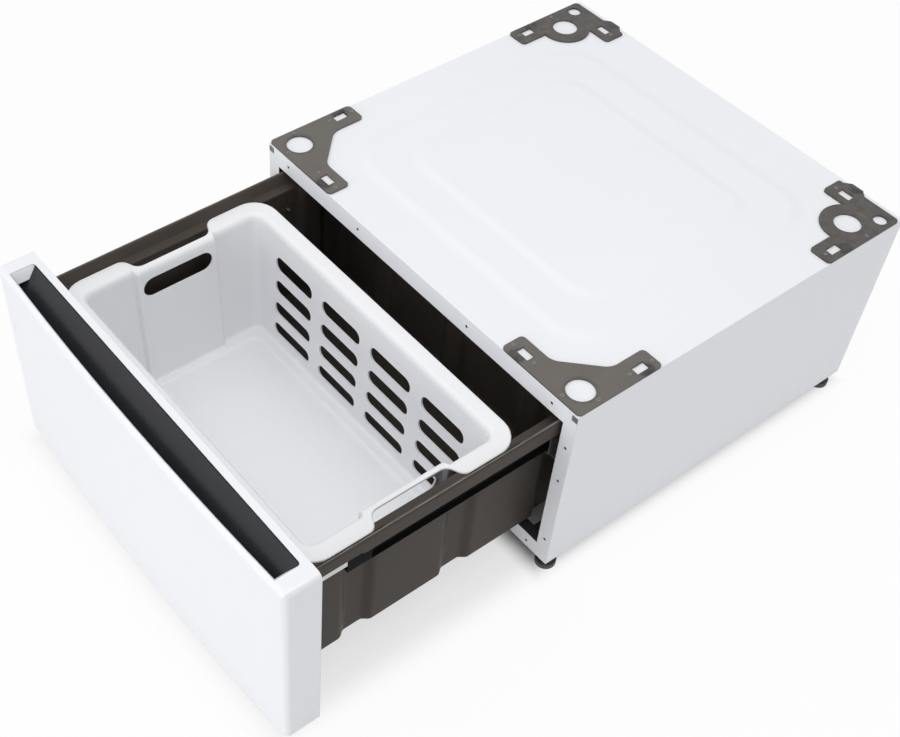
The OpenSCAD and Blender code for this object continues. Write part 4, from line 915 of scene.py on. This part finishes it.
def make_fields():
    """The pressed fields' soft slopes: each rise is a smooth step over the slope's width."""
    deck = TOP_HIGH[2] - 2 * FIELD["rise"]
    rows = [(field_loop(FIELD["outer"], FIELD["slope"] + FIELD["margin"]), deck - FIELD["sunk"])]
    for level, size in enumerate((FIELD["outer"], FIELD["inner"])):
        base = deck + FIELD["lift"] + level * FIELD["rise"]
        for grow in np.linspace(FIELD["slope"] + FIELD["past"], -FIELD["past"], SLOPE_STEPS):
            share = float(smoothstep(1 - grow / FIELD["slope"]))
            rows.append((field_loop(size, grow), base + FIELD["rise"] * share))
    count = len(rows[0][0])
    faces = grid_faces(len(rows), count, True).tolist()
    faces.append(list(range((len(rows) - 1) * count, len(rows) * count)))
    skin = make_piece("pressed_fields", loft(rows) * MM, faces, "cabinet", "white_enamel")
    solidify(skin, FIELD["skin"] * MM)


# The brackets' scoops, and black discs of painted shade for the bores of their rivets. Both start
# sunk into the plate; a scoop's dome is closed at a small share of its radius.
SCOOP = {"length": 25.0, "width": 7.0, "height": 1.1, "sunk": 0.2, "closed": 0.02}
RIVET = {"bore": 1.2, "reach": 8.0, "sunk": 0.2, "proud": 0.02, "middle": 0.1}
# Scoops of the right-hand side: how far in from the side, and from the front or the rear, and
# whether its length runs front to rear
FRONT_SCOOPS = [(4.2, 128.0, True), (128.0, 5.5, False)]
REAR_SCOOPS = [(4.6, 122.0, True), (84.0, 5.0, False)]
DOME_STEPS = 7
TURN = np.linspace(0, 2 * math.pi, 28, endpoint=False)


def scoop_spots():
    """Places of the windows' scoops, drawn for the right-hand side in mm."""
    side, front = TOP_HIGH[0], TOP_LOW[1]
    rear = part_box("rear_right_bracket")[1][1] / MM
    return ([(side - across, front + along, along_y) for across, along, along_y in FRONT_SCOOPS]
            + [(side - across, rear - along, along_y) for across, along, along_y in REAR_SCOOPS])


def piece_centres(node, reach):
    """Centres in mm of a node's separate pieces, each within reach of any of its own corners."""
    mesh = NODES[node].data
    left = np.empty(3 * len(mesh.vertices))
    mesh.vertices.foreach_get("co", left)
    left = left.reshape(-1, 3) / MM
    centres = []
    while len(left):
        near = np.linalg.norm(left[:, :2] - left[0, :2], axis=1) < reach
        centres.append((left[near].min(axis=0) + left[near].max(axis=0)) / 2)
        left = left[~near]
    return centres


def make_scoops():
    """Each scoop is a dome: height times the square root of one minus the radius squared."""
    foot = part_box("front_right_bracket")[1][2] / MM - SCOOP["sunk"]
    radius = np.linspace(1, SCOOP["closed"], DOME_STEPS)
    r, a = np.meshgrid(radius, TURN, indexing="ij")
    long, wide = SCOOP["length"] / 2 * r * np.cos(a), SCOOP["width"] / 2 * r * np.sin(a)
    z = foot + SCOOP["height"] * np.sqrt(np.clip(1 - r ** 2, 0, 1))
    last = (len(radius) - 1) * len(TURN)
    faces = grid_faces(len(radius), len(TURN), True).tolist()
    faces += [list(range(last, last + len(TURN))), list(range(len(TURN)))[::-1]]
    parts = []
    for x, y, along_y in scoop_spots():
        dx, dy = (wide, long) if along_y else (long, wide)
        for sign in (1, -1):
            points = np.stack([sign * (x + dx), y + dy, z], axis=-1).reshape(-1, 3)
            parts.append((points, [face[::sign] for face in faces]))
    points, faces = gather(parts)
    face_outwards(make_piece("bracket_scoops", points * MM, faces, "cabinet", "bracket_enamel"))


def make_rivet_bore_shades():
    """A black disc on each rivet's head, sunk at its edge: painted shade for the rivet's bore."""
    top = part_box("bracket_rivets")[1][2] / MM
    rings = ((RIVET["bore"], -RIVET["sunk"]), (RIVET["bore"], RIVET["proud"]),
             (RIVET["middle"], RIVET["proud"]))
    faces = grid_faces(len(rings), len(TURN), True).tolist()
    faces += [list(range(len(TURN)))[::-1], list(range(2 * len(TURN), 3 * len(TURN)))]
    parts = []
    for x, y, _ in piece_centres("bracket_rivets", RIVET["reach"]):
        points = [np.column_stack([x + radius * np.cos(TURN), y + radius * np.sin(TURN),
                                   np.full(len(TURN), top + lift)]) for radius, lift in rings]
        parts.append((np.concatenate(points), faces))
    points, faces = gather(parts)
    face_outwards(make_piece("rivet_bore_shades", points * MM, faces, "cabinet", "black_plastic"))


# The white floor glows for the rays that see it, less near the object, where its shadow shows:
# each pair is where the glow starts and where it is full, along x or y
FLOOR_HALF = 14
FLOOR_GREY = (0.86, 0.86, 0.86, 1)
FLOOR_ROUGH = 0.9
GLOW_BESIDE = (0.30, 0.36)
GLOW_AHEAD = (-0.76, -0.84)
GLOW_BEHIND = (0.29, 0.35)
GLOW_DRAWER = (-0.31, -0.35)
GLOW_CLEAR = 0.28
GLOW_BOTH = 0.65
WHITE = (1, 1, 1, 1)
WORLD_LIGHT = 0.51
LAMP_AIM = (0.0, -0.25, 0.25)
# Name, place, width and height in metres, watts
LAMPS = [("overhead", (-0.2, -0.6, 3.2), (4.8, 4.8), 46.0),
         ("softbox", (0.6, -0.5, 3.4), (1.6, 1.6), 13.0),
         ("front", (0.8, -6.4, 1.5), (3.6, 2.2), 98.0)]


def seen_rays(t):
    """1 for the rays that see a thing, direct, mirrored or through glass, 0 for its light on
    others."""
    path = t.add("ShaderNodeLightPath").outputs
    return t.math("MAXIMUM", path["Is Camera Ray"],
                  t.math("MAXIMUM", path["Is Glossy Ray"], path["Is Transmission Ray"]))


def make_floor():
    """A pale floor that keeps the object's shadow and is white away from it."""
    half = FLOOR_HALF
    mesh = bpy.data.meshes.new("floor")
    mesh.from_pydata([(-half, -half, 0), (half, -half, 0), (half, half, 0), (-half, half, 0)], [],
                     [(0, 1, 2, 3)])
    floor = bpy.data.objects.new("floor", mesh)
    SCENE.collection.objects.link(floor)
    pale, t, shader, coordinates = new_material("pale_floor")
    shader.inputs["Base Color"].default_value = FLOOR_GREY
    shader.inputs["Roughness"].default_value = FLOOR_ROUGH
    x, y = t.add("ShaderNodeSeparateXYZ", {0: coordinates}).outputs[:2]
    ends = t.math("MAXIMUM", t.ramp(y, *GLOW_AHEAD), t.ramp(y, *GLOW_BEHIND))
    clear = t.math("MAXIMUM", t.ramp(t.math("ABSOLUTE", x), *GLOW_BESIDE), ends)
    both = t.math("MAXIMUM", clear, t.ramp(y, *GLOW_DRAWER))
    glow = t.math("ADD", t.math("MULTIPLY", clear, GLOW_CLEAR),
                  t.math("MULTIPLY", both, GLOW_BOTH))
    white = t.add("ShaderNodeEmission", {"Color": WHITE, "Strength": 1.0})
    blend = t.add("ShaderNodeMixShader", {0: t.math("MULTIPLY", seen_rays(t), glow),
                                          1: shader.outputs[0], 2: white.outputs[0]})
    surface = pale.node_tree.nodes["Material Output"].inputs["Surface"]
    t.tree.links.new(blend.outputs[0], surface)
    floor.data.materials.append(pale)


def make_world():
    """White for the rays that see it, and a weaker even light on everything."""
    world = bpy.data.worlds.new("studio")
    SCENE.world = world
    world.use_nodes = True
    t = Tree(world.node_tree)
    back = world.node_tree.nodes["Background"]
    strength = t.math("ADD", t.math("MULTIPLY", seen_rays(t), 1.0 - WORLD_LIGHT), WORLD_LIGHT)
    back.inputs["Color"].default_value = WHITE
    t.tree.links.new(strength, back.inputs["Strength"])


def make_lamps():
    """Area lamps that all face one point."""
    for name, place, size, power in LAMPS:
        data = bpy.data.lights.new(name, "AREA")
        data.shape = "RECTANGLE"
        data.size, data.size_y = size
        data.energy = power
        lamp = bpy.data.objects.new(name, data)
        SCENE.collection.objects.link(lamp)
        lamp.location = place
        lamp.rotation_euler = (Vector(LAMP_AIM) - Vector(place)).to_track_quat("-Z", "Y").to_euler()


make_camera()
dress_nodes()
make_basket()
make_bowl()
make_rims()
make_fields()
make_scoops()
make_rivet_bore_shades()
make_floor()
make_world()
make_lamps()
SCENE.view_settings.view_transform = "Standard"
